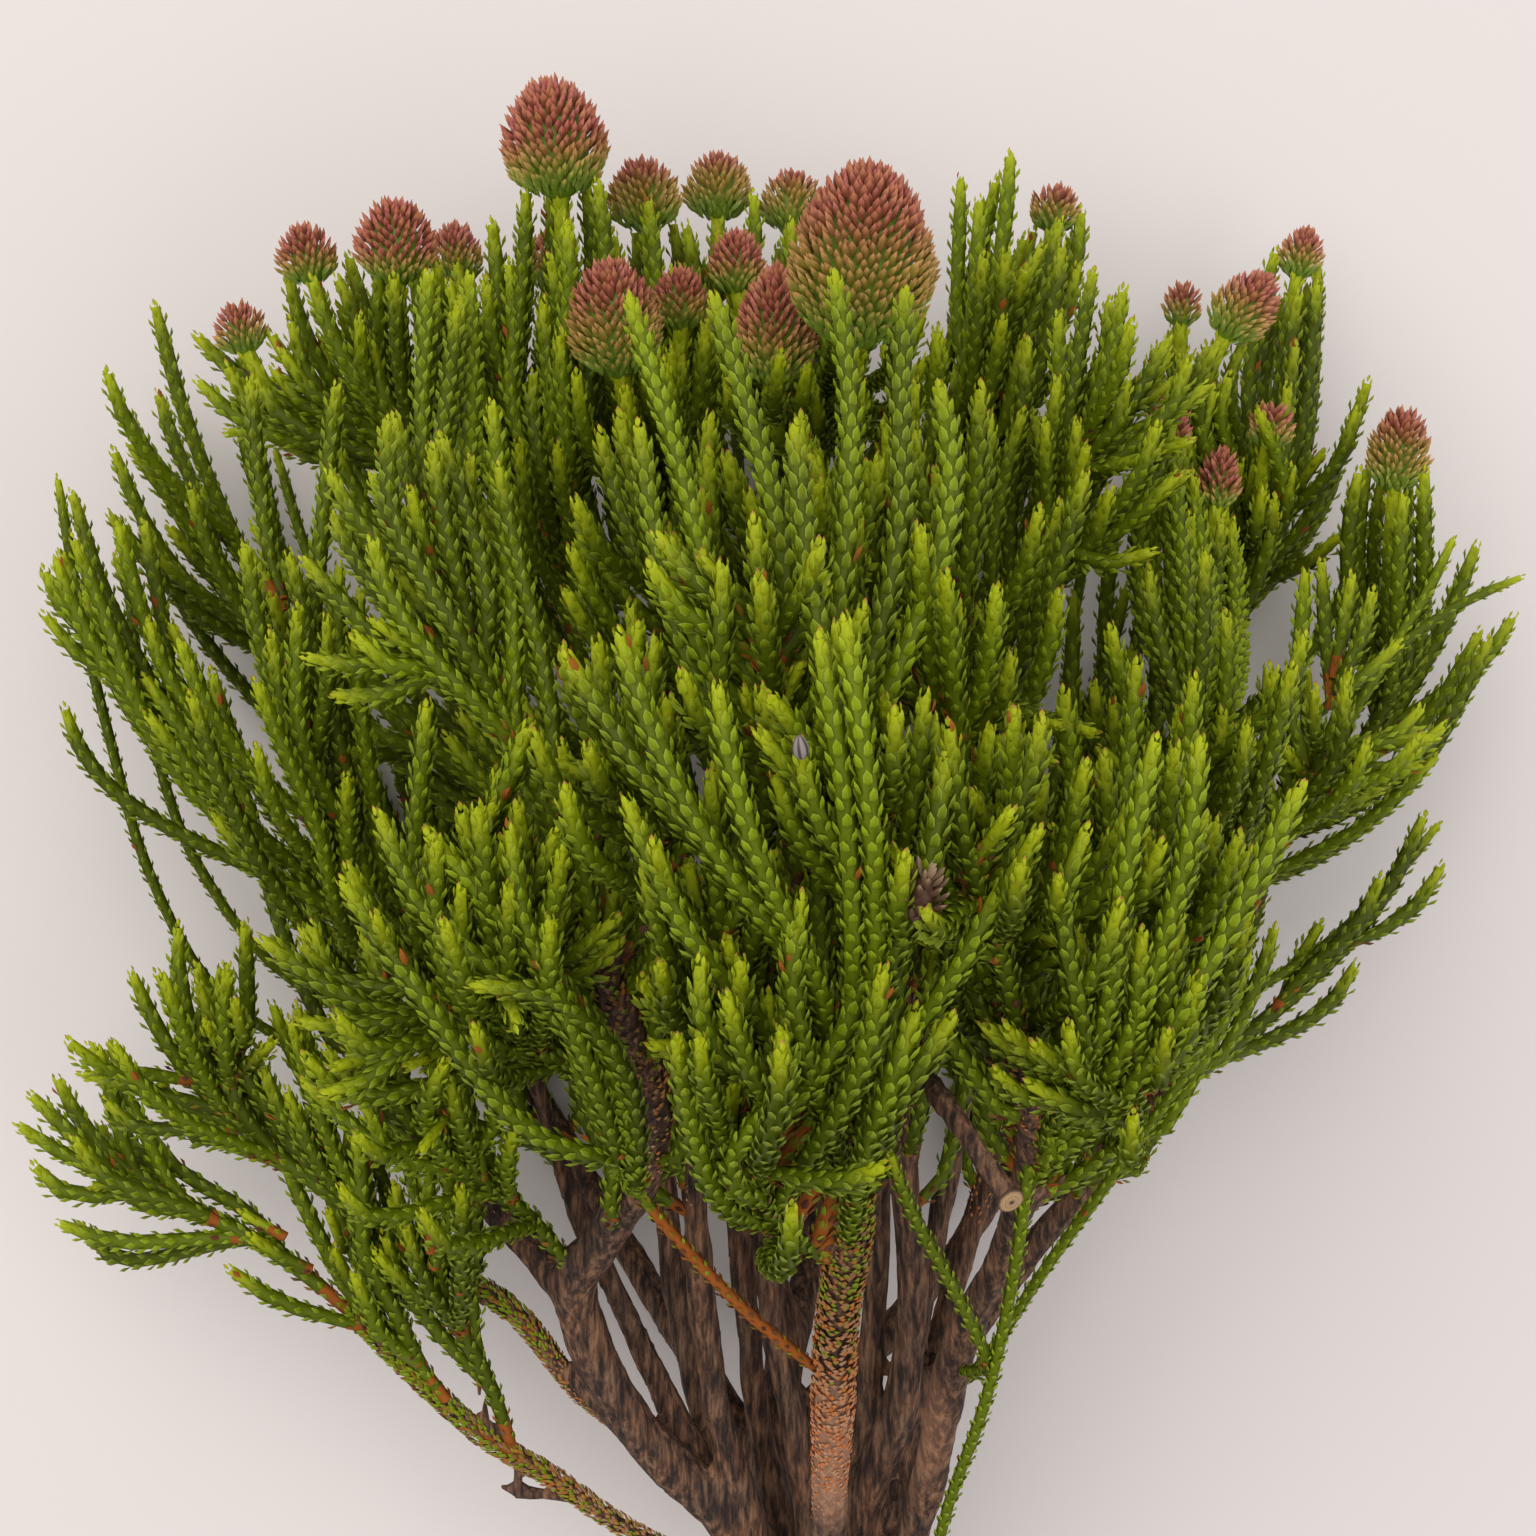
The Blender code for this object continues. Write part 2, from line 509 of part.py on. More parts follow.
def material(name, colour, roughness):
    """Principled material in one colour."""
    made = bpy.data.materials.new(name)
    made.use_nodes = True
    shader = made.node_tree.nodes["Principled BSDF"]
    shader.inputs["Base Color"].default_value = (*colour, 1)
    shader.inputs["Roughness"].default_value = roughness
    shader.inputs["Metallic"].default_value = 0.0
    return made


def add_object(name, mesh, collection):
    """Named object from a bmesh or a mesh, in a collection."""
    if isinstance(mesh, bmesh.types.BMesh):
        data = bpy.data.meshes.new(name)
        mesh.to_mesh(data)
        mesh.free()
        mesh = data
    made = bpy.data.objects.new(name, mesh)
    collection.objects.link(made)
    return made


def baked(thing):
    """The object's evaluated mesh, with loose scraps dropped and hollows filled."""
    bpy.context.view_layer.update()
    depsgraph = bpy.context.evaluated_depsgraph_get()
    data = bpy.data.meshes.new_from_object(thing.evaluated_get(depsgraph))
    mesh = bmesh.new()
    mesh.from_mesh(data)
    bmesh.ops.remove_doubles(mesh, verts=mesh.verts, dist=WELD)
    bmesh.ops.dissolve_degenerate(mesh, dist=WELD, edges=mesh.edges)
    bmesh.ops.triangulate(mesh, faces=mesh.faces)
    keep_largest(mesh)
    mesh.to_mesh(data)
    mesh.free()
    return data


def keep_largest(mesh):
    """Delete every connected piece of the mesh but the one with most faces."""
    unseen = set(mesh.faces)
    bodies = []
    while unseen:
        front = [unseen.pop()]
        body = list(front)
        while front:
            for edge in front.pop().edges:
                for face in edge.link_faces:
                    if face in unseen:
                        unseen.remove(face)
                        front.append(face)
                        body.append(face)
        bodies.append(body)
    bodies.sort(key=len)
    for body in bodies[:-1]:
        bmesh.ops.delete(mesh, geom=body, context="FACES")


def fuse(name, pieces, parts, solver):
    """Boolean union of the pieces, which are removed, as one object of the part."""
    first, others = pieces[0], pieces[1:]
    group = bpy.data.collections.new(name + "_pieces")
    bpy.context.scene.collection.children.link(group)
    for piece in others:
        add_object(piece.name, piece.data, group)
    union = first.modifiers.new("union", "BOOLEAN")
    union.operation = "UNION"
    union.operand_type = "COLLECTION"
    union.collection = group
    union.solver = solver
    whole = add_object(name, baked(first), parts)
    for thing in list(group.objects) + pieces:
        bpy.data.objects.remove(thing)
    bpy.data.collections.remove(group)
    return whole


def tube(name, rows, collection, resolution):
    """Mesh of a bevelled curve through rows of x, y, z and radius."""
    curve = bpy.data.curves.new(name, "CURVE")
    curve.dimensions = "3D"
    curve.bevel_depth = MM
    curve.bevel_resolution = resolution
    curve.use_fill_caps = True
    spline = curve.splines.new("POLY")
    spline.points.add(len(rows) - 1)
    for point, (x, y, z, radius) in zip(spline.points, rows):
        point.co = (x * MM, y * MM, z * MM, 1)
        point.radius = radius
    thing = add_object(name, curve, collection)
    whole = add_object(name + "_mesh", baked(thing), collection)
    bpy.data.objects.remove(thing)
    return whole


def woody_stem(limbs, parts, workshop):
    """The forked stem with the short stubs that carry the sprays."""
    pieces = []
    for name, path in limbs.items():
        pieces.append(tube(name, path, workshop, 2 if name == "main" else 1))
    for name, limb, share, tip, _, _ in SPRAYS:
        start, end, _ = spray_stub(limbs, limb, share, place(*tip))
        rows = [(*start, STUB_RADIUS), (*end, STUB_RADIUS)]
        pieces.append(tube(name + "_stub", rows, workshop, 0))
    return fuse("woody_stem", pieces, parts, "MANIFOLD")


def leafy_spray(name, strands, parts, workshop):
    """One spray: its middle shoot with the side shoots grown into it."""
    pieces = [add_object(f"{name}_{number}", shoot_mesh(strand), workshop)
              for number, strand in enumerate(strands) if strand["spray"] == name]
    return fuse(name, pieces, parts, "EXACT")


def table_block(workshop):
    """Block under the table's surface, which cuts the flat spots that the part rests on."""
    mesh = bmesh.new()
    bmesh.ops.create_cube(mesh, size=1)
    bmesh.ops.scale(mesh, verts=mesh.verts, vec=(0.6, 0.8, TABLE_DEPTH * MM))
    bmesh.ops.translate(mesh, verts=mesh.verts, vec=(0, 0, (FLOOR - TABLE_DEPTH / 2) * MM))
    block = add_object("table_block", mesh, workshop)
    block.hide_render = True
    block.display_type = "WIRE"
    return block


def flatten_underside(thing, block):
    """Cut off what reaches below the table."""
    if min(vertex.co.z for vertex in thing.data.vertices) >= FLOOR * MM:
        return
    cut = thing.modifiers.new("flat spots", "BOOLEAN")
    cut.operation = "DIFFERENCE"
    cut.object = block
    cut.solver = "EXACT"
    thing.data = baked(thing)
    thing.modifiers.clear()


def main():
    for thing in list(bpy.data.objects):
        bpy.data.objects.remove(thing)
    parts = bpy.data.collections.new("nebelia_stem")
    workshop = bpy.data.collections.new("cutters")
    for group in (parts, workshop):
        bpy.context.scene.collection.children.link(group)
    bark = material("bark", (0.14, 0.095, 0.07), 0.85)
    leaves = material("scale_leaves", (0.09, 0.2, 0.03), 0.5)
    bracts = material("flower_bracts", (0.35, 0.09, 0.08), 0.55)

    limbs = limb_paths()
    strands = thin_out(settle(grow_strands(limbs), limbs), limbs)
    block = table_block(workshop)
    made = [(woody_stem(limbs, parts, workshop), bark)]
    made += [(leafy_spray(row[0], strands, parts, workshop), leaves) for row in SPRAYS]
    made += [(add_object(head[0], head_mesh(head), parts), bracts) for head in HEADS]
    for thing, finish in made:
        flatten_underside(thing, block)
        for vertex in thing.data.vertices:
            vertex.co -= Vector((ORIGIN_X, ORIGIN_Y, FLOOR)) * MM
        thing.data.materials.clear()
        thing.data.materials.append(finish)


if __name__ == "__main__":
    main()
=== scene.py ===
# %% [markdown]
# A nebelia stem is a cut branch of a small heath-like bush. Its wood forks into crooked limbs, each limb
# ends in bunches of thin shoots, and each shoot is wrapped in hundreds of scale leaves that overlap like
# roof tiles. Round flower heads stand among the tips. This lesson dresses the branch in the order in which
# it grew: wood, the line of every shoot, the leaves along those lines, and the heads.
#
# The plain solids of the part are loaded first. They fix where everything is, and each finer piece that is
# made here takes the place of one of them.

# %% Load the plain solids
import json
import math

import bmesh
import bpy
import numpy as np
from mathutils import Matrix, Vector

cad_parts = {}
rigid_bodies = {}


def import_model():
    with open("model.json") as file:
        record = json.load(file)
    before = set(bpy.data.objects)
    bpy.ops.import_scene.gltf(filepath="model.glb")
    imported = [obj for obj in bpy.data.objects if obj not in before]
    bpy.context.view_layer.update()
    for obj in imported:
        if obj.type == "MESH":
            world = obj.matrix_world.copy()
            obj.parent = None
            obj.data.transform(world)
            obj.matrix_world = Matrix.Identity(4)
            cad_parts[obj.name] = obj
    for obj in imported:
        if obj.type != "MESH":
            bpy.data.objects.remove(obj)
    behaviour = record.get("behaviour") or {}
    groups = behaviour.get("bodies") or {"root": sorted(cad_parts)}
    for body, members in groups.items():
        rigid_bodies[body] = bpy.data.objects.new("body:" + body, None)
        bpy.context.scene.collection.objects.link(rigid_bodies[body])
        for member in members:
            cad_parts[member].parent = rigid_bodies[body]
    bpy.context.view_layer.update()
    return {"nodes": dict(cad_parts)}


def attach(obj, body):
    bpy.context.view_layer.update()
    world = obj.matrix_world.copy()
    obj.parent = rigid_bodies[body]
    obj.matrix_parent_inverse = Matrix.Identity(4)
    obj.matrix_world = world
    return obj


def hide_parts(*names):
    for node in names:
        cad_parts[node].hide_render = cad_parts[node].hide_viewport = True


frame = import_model()

# %% [markdown]
# Colours are easier to choose as the hex values that a paint program shows. A shader wants linear light, so
# one function turns the first into the second. Another one adds a node to a tree with its settings and links,
# which keeps every material and every Geometry Nodes tree below down to one line for each node. Three more
# start a material, fill a colour ramp and put an object in the scene.

# %% Helpers
MM = 0.001


def linear(shown):
    """Linear light of a colour that is written as an sRGB hex value."""
    parts = [int(shown[at:at + 2], 16) / 255 for at in (1, 3, 5)]
    return (*[p / 12.92 if p <= 0.04045 else ((p + 0.055) / 1.055) ** 2.4 for p in parts], 1.0)


def add_node(tree, kind, inputs=None, **settings):
    """Add a node with its settings; inputs are links from other sockets, or values."""
    made = tree.nodes.new(kind)
    for name, value in settings.items():
        setattr(made, name, value)
    for key, value in (inputs or {}).items():
        if isinstance(value, bpy.types.NodeSocket):
            tree.links.new(value, made.inputs[key])
        else:
            made.inputs[key].default_value = value
    return made


def new_skin(name):
    """New material, with its node tree and its shader."""
    skin = bpy.data.materials.new(name)
    skin.use_nodes = True
    return skin, skin.node_tree, skin.node_tree.nodes["Principled BSDF"]


def fill_ramp(ramp, stops):
    """Give a colour ramp its stops, each a position and a hex value, from the lowest to the highest."""
    elements = ramp.color_ramp.elements
    for spot, _ in stops[1:-1]:
        elements.new(spot)
    elements[0].position, elements[-1].position = stops[0][0], stops[-1][0]
    for stop, (_, colour) in zip(elements, stops):
        stop.color = linear(colour)


def new_object(name, data):
    """New object in the scene that shows the data."""
    made = bpy.data.objects.new(name, data)
    bpy.context.scene.collection.objects.link(made)
    return made


print("bright shoot tip in linear light:", [round(part, 3) for part in linear("#A3B829")])

# %% [markdown]
# The branch lies on its back on a pale table, and the camera looks straight down on it from about 25 cm
# above the nearest shoots. So short a distance makes the near shoots look big and the far ones small, which
# gives the bush its depth. The lens follows from that distance and from how much it takes in there.

# %% Camera
FLOOR = -70.0                # height of the table under the middle of the bush, in millimetres
SIGHT = 330.0                # height of the eye above the middle of the bush
SIGHT_X, SIGHT_Y = -4.3, 105.6
ORIGIN_X, ORIGIN_Y = -1.207, 33.632
VIEW_WIDTH = 204.8           # what the picture takes in at the height of the bush's middle
SENSOR = 36.0


def in_frame(places):
    """Metres in the part's frame, for millimetres measured from the middle of the bush."""
    return (np.asarray(places, float) - (ORIGIN_X, ORIGIN_Y, FLOOR)) * MM


camera_data = bpy.data.cameras.new("camera")
camera_data.sensor_width = SENSOR
camera_data.lens = SENSOR * SIGHT / VIEW_WIDTH
camera_data.clip_start = 0.01
camera = new_object("camera", camera_data)
camera.location = in_frame((SIGHT_X, SIGHT_Y, SIGHT))
bpy.context.scene.camera = camera
print("lens", round(camera_data.lens, 1), "mm, eye at", [round(c, 3) for c in camera.location])

# %% [markdown]
# The light is that of a bright room: a broad lamp above the upper left corner, a weaker one across from it,
# and a pale sky all round. Broad lamps give soft shadows, so the gaps deep in the bush go dark while the
# table stays almost even.

# %% Light and table
LAMPS = {                    # place in metres, width in metres, watts, colour
    "window": ((-0.30, 0.40, 1.05), 1.4, 11.2, "#FFFDFA"),
    "room": ((0.70, -0.30, 0.85), 0.9, 3.0, "#FAFAFF"),
}
TABLE_MIDDLE = Vector((0.0, 0.05, 0.03))
for name, (spot, width, watts, colour) in LAMPS.items():
    lamp = new_object(name, bpy.data.lights.new(name, "AREA"))
    lamp.data.size = width
    lamp.data.energy = watts
    lamp.data.color = linear(colour)[:3]
    lamp.location = spot
    lamp.rotation_euler = (TABLE_MIDDLE - lamp.location).to_track_quat("-Z", "Y").to_euler()

world = bpy.data.worlds.new("pale room")
world.use_nodes = True
world.node_tree.nodes["Background"].inputs["Color"].default_value = linear("#F0EDED")
world.node_tree.nodes["Background"].inputs["Strength"].default_value = 0.60
bpy.context.scene.world = world
bpy.context.scene.view_settings.view_transform = "Standard"

paper, _, shader = new_skin("matt_backdrop_paper")
shader.inputs["Base Color"].default_value = linear("#DED7D4")
shader.inputs["Roughness"].default_value = 0.9
sheet = bmesh.new()
bmesh.ops.create_grid(sheet, x_segments=1, y_segments=1, size=2.5)
table_mesh = bpy.data.meshes.new("table")
sheet.to_mesh(table_mesh)
sheet.free()
table_mesh.materials.append(paper)
table = new_object("table", table_mesh)
table.location.z = -0.1 * MM                      # just under the stem, so that the two never coincide
print("lamps:", len(LAMPS))

# %% [markdown]
# Every limb of the wood is a short list of places with a thickness. A place is written as it looks from the
# eye: x to the right, y from the cut end towards the tips, h up from the middle of the bush. What is near the
# eye looks further out than it is, and place() puts it back. A smooth curve then runs through the places of
# each limb.

# %% Limbs
# Woody limbs: (x, y, h, radius) from the fork outwards
LIMBS = {
    "main": [(5, -93, -65.3, 4.9), (4, -62, -62, 4.7), (3, -34, -50, 4.7), (2, -12, -35, 5.6)],
    "left": [(2, -16, -35, 4.4), (-8, 3, -30, 3.6), (-22, 18, -24, 3.4), (-30, 35, -18, 3.3),
        (-26, 43, -12, 3.0), (-21, 52, -4, 2.8), (-20, 62, 6, 2.5), (-24, 73, 17, 2.1),
        (-28, 85, 26, 1.7)],
    "left_outer": [(-30, 35, -18, 2.6), (-41, 47, -22, 2.2), (-53, 61, -26, 1.9), (-62, 78, -28, 1.5)],
    "back_left": [(-3, -3, -34, 2.8), (-10, 11, -35, 2.3), (-16, 33, -37, 2.2), (-19, 55, -38, 2.0),
        (-24, 80, -39, 1.8), (-30, 103, -38, 1.5)],
    "back_middle": [(3, -16, -37, 4.0), (-4, 11, -43, 3.6), (-2, 29, -46, 3.0), (-6, 43, -47, 2.5),
        (-10, 56, -46, 2.2), (-8, 84, -44, 2.0), (-5, 112, -38, 1.6)],
    "front": [(3, -14, -31, 3.2), (3.7, 3.5, -18, 2.6), (4.3, 20, -3, 2.4), (5, 33, 10, 2.3),
        (7, 46, 22, 2.2), (6, 60, 33, 2.0), (2, 75, 41, 1.8), (0, 90, 45, 1.5)],
    "middle": [(4, -16, -35, 3.4), (7, 3.5, -34, 3.0), (13.5, 22, -30, 2.7), (15, 38, -27, 2.4),
        (14, 55, -24, 2.2), (18, 84, -20, 1.9), (24, 112, -16, 1.5)],
    "centre": [(16, 70, -22, 1.9), (10, 85, -4, 1.7), (6, 104, 8, 1.4)],
    "right_front": [(5, -14, -33, 3.2), (15, 3.5, -20, 2.7), (21, 28, -2, 2.4), (27, 41, 8, 2.2),
        (31, 55, 21, 2.0), (29.5, 68, 33, 1.7)],
    "right": [(9, -6, -30, 2.8), (15, 6, -34, 2.7), (19, 24, -33, 2.5), (29, 39, -29, 2.3),
        (40, 52, -25, 2.1), (52, 67, -22, 1.8), (59, 84, -20, 1.5)],
    "low_left": [(-3, -5, -33, 2.5), (-21, 3, -32, 1.8), (-33, 11, -30, 1.5), (-44, 18, -29, 1.4),
        (-60, 33, -29, 1.3)],
    "low_side": [(-20, 16, -25, 2.0), (-29, 22, -24, 1.8), (-38, 33, -24, 1.6), (-48, 39, -24, 1.4),
        (-55, 43, -24, 1.3)],
    "inner_left": [(2, -14, -36, 2.4), (-9, 12, -27, 2.2), (-13, 34, -23, 2.0), (-15, 56, -20, 1.8),
        (-20, 76, -14, 1.4)],
    "inner_middle": [(3, -14, -37, 2.4), (0, 14, -33, 2.2), (-4, 36, -32, 2.0), (0, 58, -32, 1.8),
        (4, 76, -30, 1.4)],
    "inner_right": [(5, -12, -34, 2.4), (12, 10, -40, 2.2), (19, 32, -43, 2.0), (25, 52, -43, 1.8),
        (30, 72, -42, 1.4)],
    "under_left": [(-4, 12, -44, 2.6), (-21, 38, -58, 2.3), (-36, 64, -68.4, 2.1), (-48, 86, -68.5, 2.0)],
    "under_middle": [(-2, 26, -46, 2.6), (3, 48, -60, 2.3), (5, 72, -68.3, 2.2), (5, 92, -68.4, 2.0),
        (4, 112, -64, 1.6)],
    "under_right": [(-3, 16, -44, 2.6), (20, 40, -58, 2.3), (35, 68, -68.4, 2.1), (46, 94, -68.5, 2.0)],
    "trimmed_twig": [(15, 68, -22, 1.6), (16, 67, 5, 1.5), (17, 64, 28, 1.5), (22, 57, 35, 1.5),
        (28, 48, 37, 1.55)],
}


def place(x, y, h):
    """Millimetres in the part's own frame, for a place as it looks from the eye."""
    near = 1 - h / SIGHT
    return np.array((SIGHT_X + (x - SIGHT_X) * near, SIGHT_Y + (y - SIGHT_Y) * near, h))


def unit(vector):
    return vector / np.linalg.norm(vector)


def along(path, share):
    """The place at a share of a path's points, with the path's direction there."""
    spot = min(max(share, 0.0), 1.0) * (len(path) - 1)
    first = min(int(spot), len(path) - 2)
    rest = spot - first
    return path[first] * (1 - rest) + path[first + 1] * rest, unit((path[first + 1] - path[first])[:3])


def smooth(points, per_span):
    """Catmull-Rom curve through the rows of points, which may carry a radius too."""
    rows = np.vstack((2 * points[0] - points[1], points, 2 * points[-1] - points[-2]))
    curve = []
    for first in range(len(points) - 1):
        a, b, c, d = rows[first:first + 4]
        for step in range(per_span):
            t = step / per_span
            curve.append(0.5 * (2 * b + (c - a) * t + (2 * a - 5 * b + 4 * c - d) * t * t
                    + (3 * b - a - 3 * c + d) * t ** 3))
    return np.array(curve + [points[-1]])


def walked_along(path):
    """How far along the path each of its points lies."""
    return np.concatenate(([0], np.cumsum(np.linalg.norm(np.diff(path, axis=0), axis=1))))


def limb_paths():
    """Each limb's middle line, with its radius as the fourth number."""
    paths = {}
    for name, points in LIMBS.items():
        rows = np.array([(*place(x, y, h), radius) for x, y, h, radius in points])
        paths[name] = smooth(rows, 2) if len(points) < 5 else rows
    return paths


limbs = limb_paths()
print("limbs:", len(limbs))

# %% [markdown]
# A spray is a bunch of shoots on one woody stub: a middle shoot that runs to the spray's tip, and side shoots
# that leave it all round. Heads stand on stalks that grow out of a spray. Both are lists of places again, and
# what belongs to a spray follows from its row.

# %% Sprays and flower heads
# Leafy sprays: name, limb, share of the way along it, tip (x, y, h), shoots, width of the bunch
SPRAYS = [
    ("spray_low_left", "low_left", 1.0, (-99, 64, -38), 7, 20),
    ("spray_low_left_twig", "low_left", 0.62, (-54, 50, -14), 4, 10),
    ("spray_low_side", "low_side", 1.0, (-89, 78, -20), 9, 26),
    ("spray_left_elbow", "left", 0.40, (-57, 68, 12), 7, 22),
    ("spray_left_front", "left", 0.68, (-60, 92, 22), 9, 30),
    ("spray_left_near", "left", 0.76, (-43, 100, 44), 7, 18),
    ("spray_left_arc", "left_outer", 1.0, (-97, 142, -25), 7, 18),
    ("spray_left_edge", "under_left", 1.0, (-86, 167, -46), 8, 28),
    ("spray_left_middle", "left_outer", 0.72, (-74, 135, 5), 9, 26),
    ("spray_left_inner", "left", 1.0, (-54, 152, 18), 9, 26),
    ("spray_top_left", "back_left", 1.0, (-61, 173, -24), 8, 24),
    ("spray_top_left_inner", "back_left", 0.9, (-41, 178, -12), 7, 22),
    ("spray_front_left", "left", 0.93, (-27, 122, 50), 8, 20),
    ("spray_front_low", "front", 0.50, (-1, 84, 60), 7, 22),
    ("spray_front", "front", 0.80, (5, 124, 66), 9, 20),
    ("spray_front_upper", "front", 1.0, (-6, 138, 56), 9, 22),
    ("spray_front_side", "front", 0.64, (-12, 104, 56), 7, 16),
    ("spray_front_right", "right_front", 1.0, (19, 111, 64), 8, 20),
    ("spray_front_right_upper", "centre", 0.45, (16, 137, 50), 9, 22),
    ("spray_centre_left", "centre", 0.80, (-24, 152, 30), 9, 24),
    ("spray_centre", "centre", 1.0, (0, 152, 26), 9, 24),
    ("spray_centre_right", "middle", 0.88, (24, 156, 22), 9, 24),
    ("spray_crown_left", "back_middle", 0.92, (-17, 172, -16), 5, 22),
    ("spray_crown", "back_middle", 1.0, (6, 174, -20), 7, 24),
    ("spray_crown_right", "middle", 1.0, (43, 169, 0), 9, 24),
    ("spray_top_right", "middle", 0.94, (28, 187, -24), 8, 20),
    ("spray_right_near", "right_front", 0.76, (38, 106, 52), 8, 18),
    ("spray_right_low", "right_front", 0.68, (43, 86, 46), 7, 16),
    ("spray_right_front", "right", 0.62, (50, 108, 36), 8, 22),
    ("spray_right_middle", "right", 0.86, (54, 134, 12), 9, 26),
    ("spray_right", "right", 1.0, (73, 118, -14), 9, 28),
    ("spray_right_arc", "right", 0.74, (83, 99, -34), 4, 14),
    ("spray_right_edge", "under_right", 0.86, (90, 135, -46), 7, 22),
    ("spray_far_right", "under_right", 1.0, (66, 162, -42), 7, 26),
    ("spray_under_left", "under_left", 0.62, (-62, 112, -64), 5, 24),
    ("spray_under_middle", "under_middle", 1.0, (-18, 168, -58), 7, 28),
    ("spray_under_right", "under_middle", 0.9, (28, 164, -58), 7, 28),
]

# Flower heads: name, spray, middle (x, y, h), width, height, lean to the right and towards the eye
HEADS = [
    ("head_top_left", "spray_top_left_inner", (-33, 191, -6), 14, 15, -0.1, 0.2),
    ("head_front", "spray_crown", (8.5, 176, 22), 18, 21, 0.05, 0.35),
    ("head_left_high", "spray_top_left", (-66, 175, -20), 8.5, 8.5, -0.2, 0.2),
    ("head_left_dark", "spray_top_left", (-54, 177, -8), 11, 11, 0.0, 0.3),
    ("head_left_low", "spray_top_left", (-75, 165, -25), 7.5, 7.5, -0.3, 0.1),
    ("head_left_back", "spray_top_left_inner", (-46, 175, -34), 8, 9, -0.1, 0.0),
    ("head_left_hidden", "spray_top_left_inner", (-33, 174, -34), 8, 9, 0.1, 0.0),
    ("head_crown_left", "spray_crown_left", (-25, 167, 6), 12, 14.5, -0.1, 0.3),
    ("head_crown_small", "spray_crown_left", (-16, 169, -10), 8, 8.5, 0.0, 0.2),
    ("head_crown_back", "spray_crown_left", (-21, 183, -22), 10.5, 10, -0.1, 0.1),
    ("head_crown_middle", "spray_crown", (-8.5, 174, -20), 8, 9, 0.0, 0.1),
    ("head_crown_tall", "spray_crown", (-3, 166, 4), 10.5, 15, 0.05, 0.2),
    ("head_crown_far", "spray_crown_left", (-11, 184, -34), 10, 9.5, 0.0, 0.0),
    ("head_crown_right", "spray_crown", (-1, 182, -38), 9.5, 9, 0.1, 0.0),
    ("head_top_right", "spray_top_right", (34, 181, -32), 7.5, 7, 0.1, 0.1),
    ("head_right_high", "spray_far_right", (67, 175, -50), 7, 8, 0.2, 0.0),
    ("head_right_lean", "spray_far_right", (60, 168, -30), 9, 11, 0.7, 0.1),
    ("head_right_small", "spray_far_right", (51, 168, -48), 6, 7, 0.1, 0.0),
    ("head_right_dark", "spray_right_middle", (49, 152, -14), 6.5, 9, 0.0, 0.2),
    ("head_right_dark_low", "spray_right_middle", (56, 145, -26), 6, 9, 0.1, 0.1),
    ("head_right_round", "spray_far_right", (63, 152, -30), 6.5, 7, 0.2, 0.1),
    ("head_right_stalked", "spray_right_edge", (80, 149, -28), 9, 11.5, 0.1, 0.2),
]

print("sprays:", len(SPRAYS), "flower heads:", len(HEADS))

# %% [markdown]
# The line of a shoot is a cubic curve that leaves its parent and arrives at its own tip. Side shoots turn by
# the golden angle from one to the next, as they do on most plants, so none stands right above another. The
# draws come from one seeded generator, and the lines come out the same each time.

# %% Lines of the shoots
SEED = 7
GAP = 0.3                    # between a stub and its spray, and between a stalk and its head
POINTS = 8                   # points that carry the line of one shoot
STUB_LENGTH = 5.0
STUB_ANGLE = math.radians(45)
GOLDEN_ANGLE = math.radians(137.5)


def bezier(start, out, end, into, count):
    """Cubic curve from start, leaving along out, to end, arriving along into."""
    t = np.linspace(0, 1, count)[:, None]
    pull = np.linalg.norm(end - start) * 0.38
    a, b = start + unit(out) * pull, end - unit(into) * pull
    return (1 - t) ** 3 * start + 3 * (1 - t) ** 2 * t * a + 3 * (1 - t) * t * t * b + t ** 3 * end


def across(direction):
    """Two directions at right angles to the given one."""
    side = unit(np.cross(direction, (0.0, 0.3, 1.0)))
    return side, np.cross(direction, side)


def spray_stub(limbs, limb, share, tip):
    """Start, end and direction of the woody stub that carries a spray."""
    centre, forward = along(limbs[limb], share)
    towards = unit(tip - centre[:3])
    direction = unit(0.55 * forward + 0.45 * towards)
    if share < 1:
        sideways = unit(towards - forward * forward.dot(towards))
        direction = unit(forward * math.cos(STUB_ANGLE) + sideways * math.sin(STUB_ANGLE))
    return centre[:3], centre[:3] + direction * (centre[3] + STUB_LENGTH), direction


def head_axis(head):
    """Foot and direction of a flower head."""
    _, _, middle, _, height, lean, rise = head
    direction = unit(np.array((lean, 1.0, rise)))
    return place(*middle) - direction * height / 2, direction


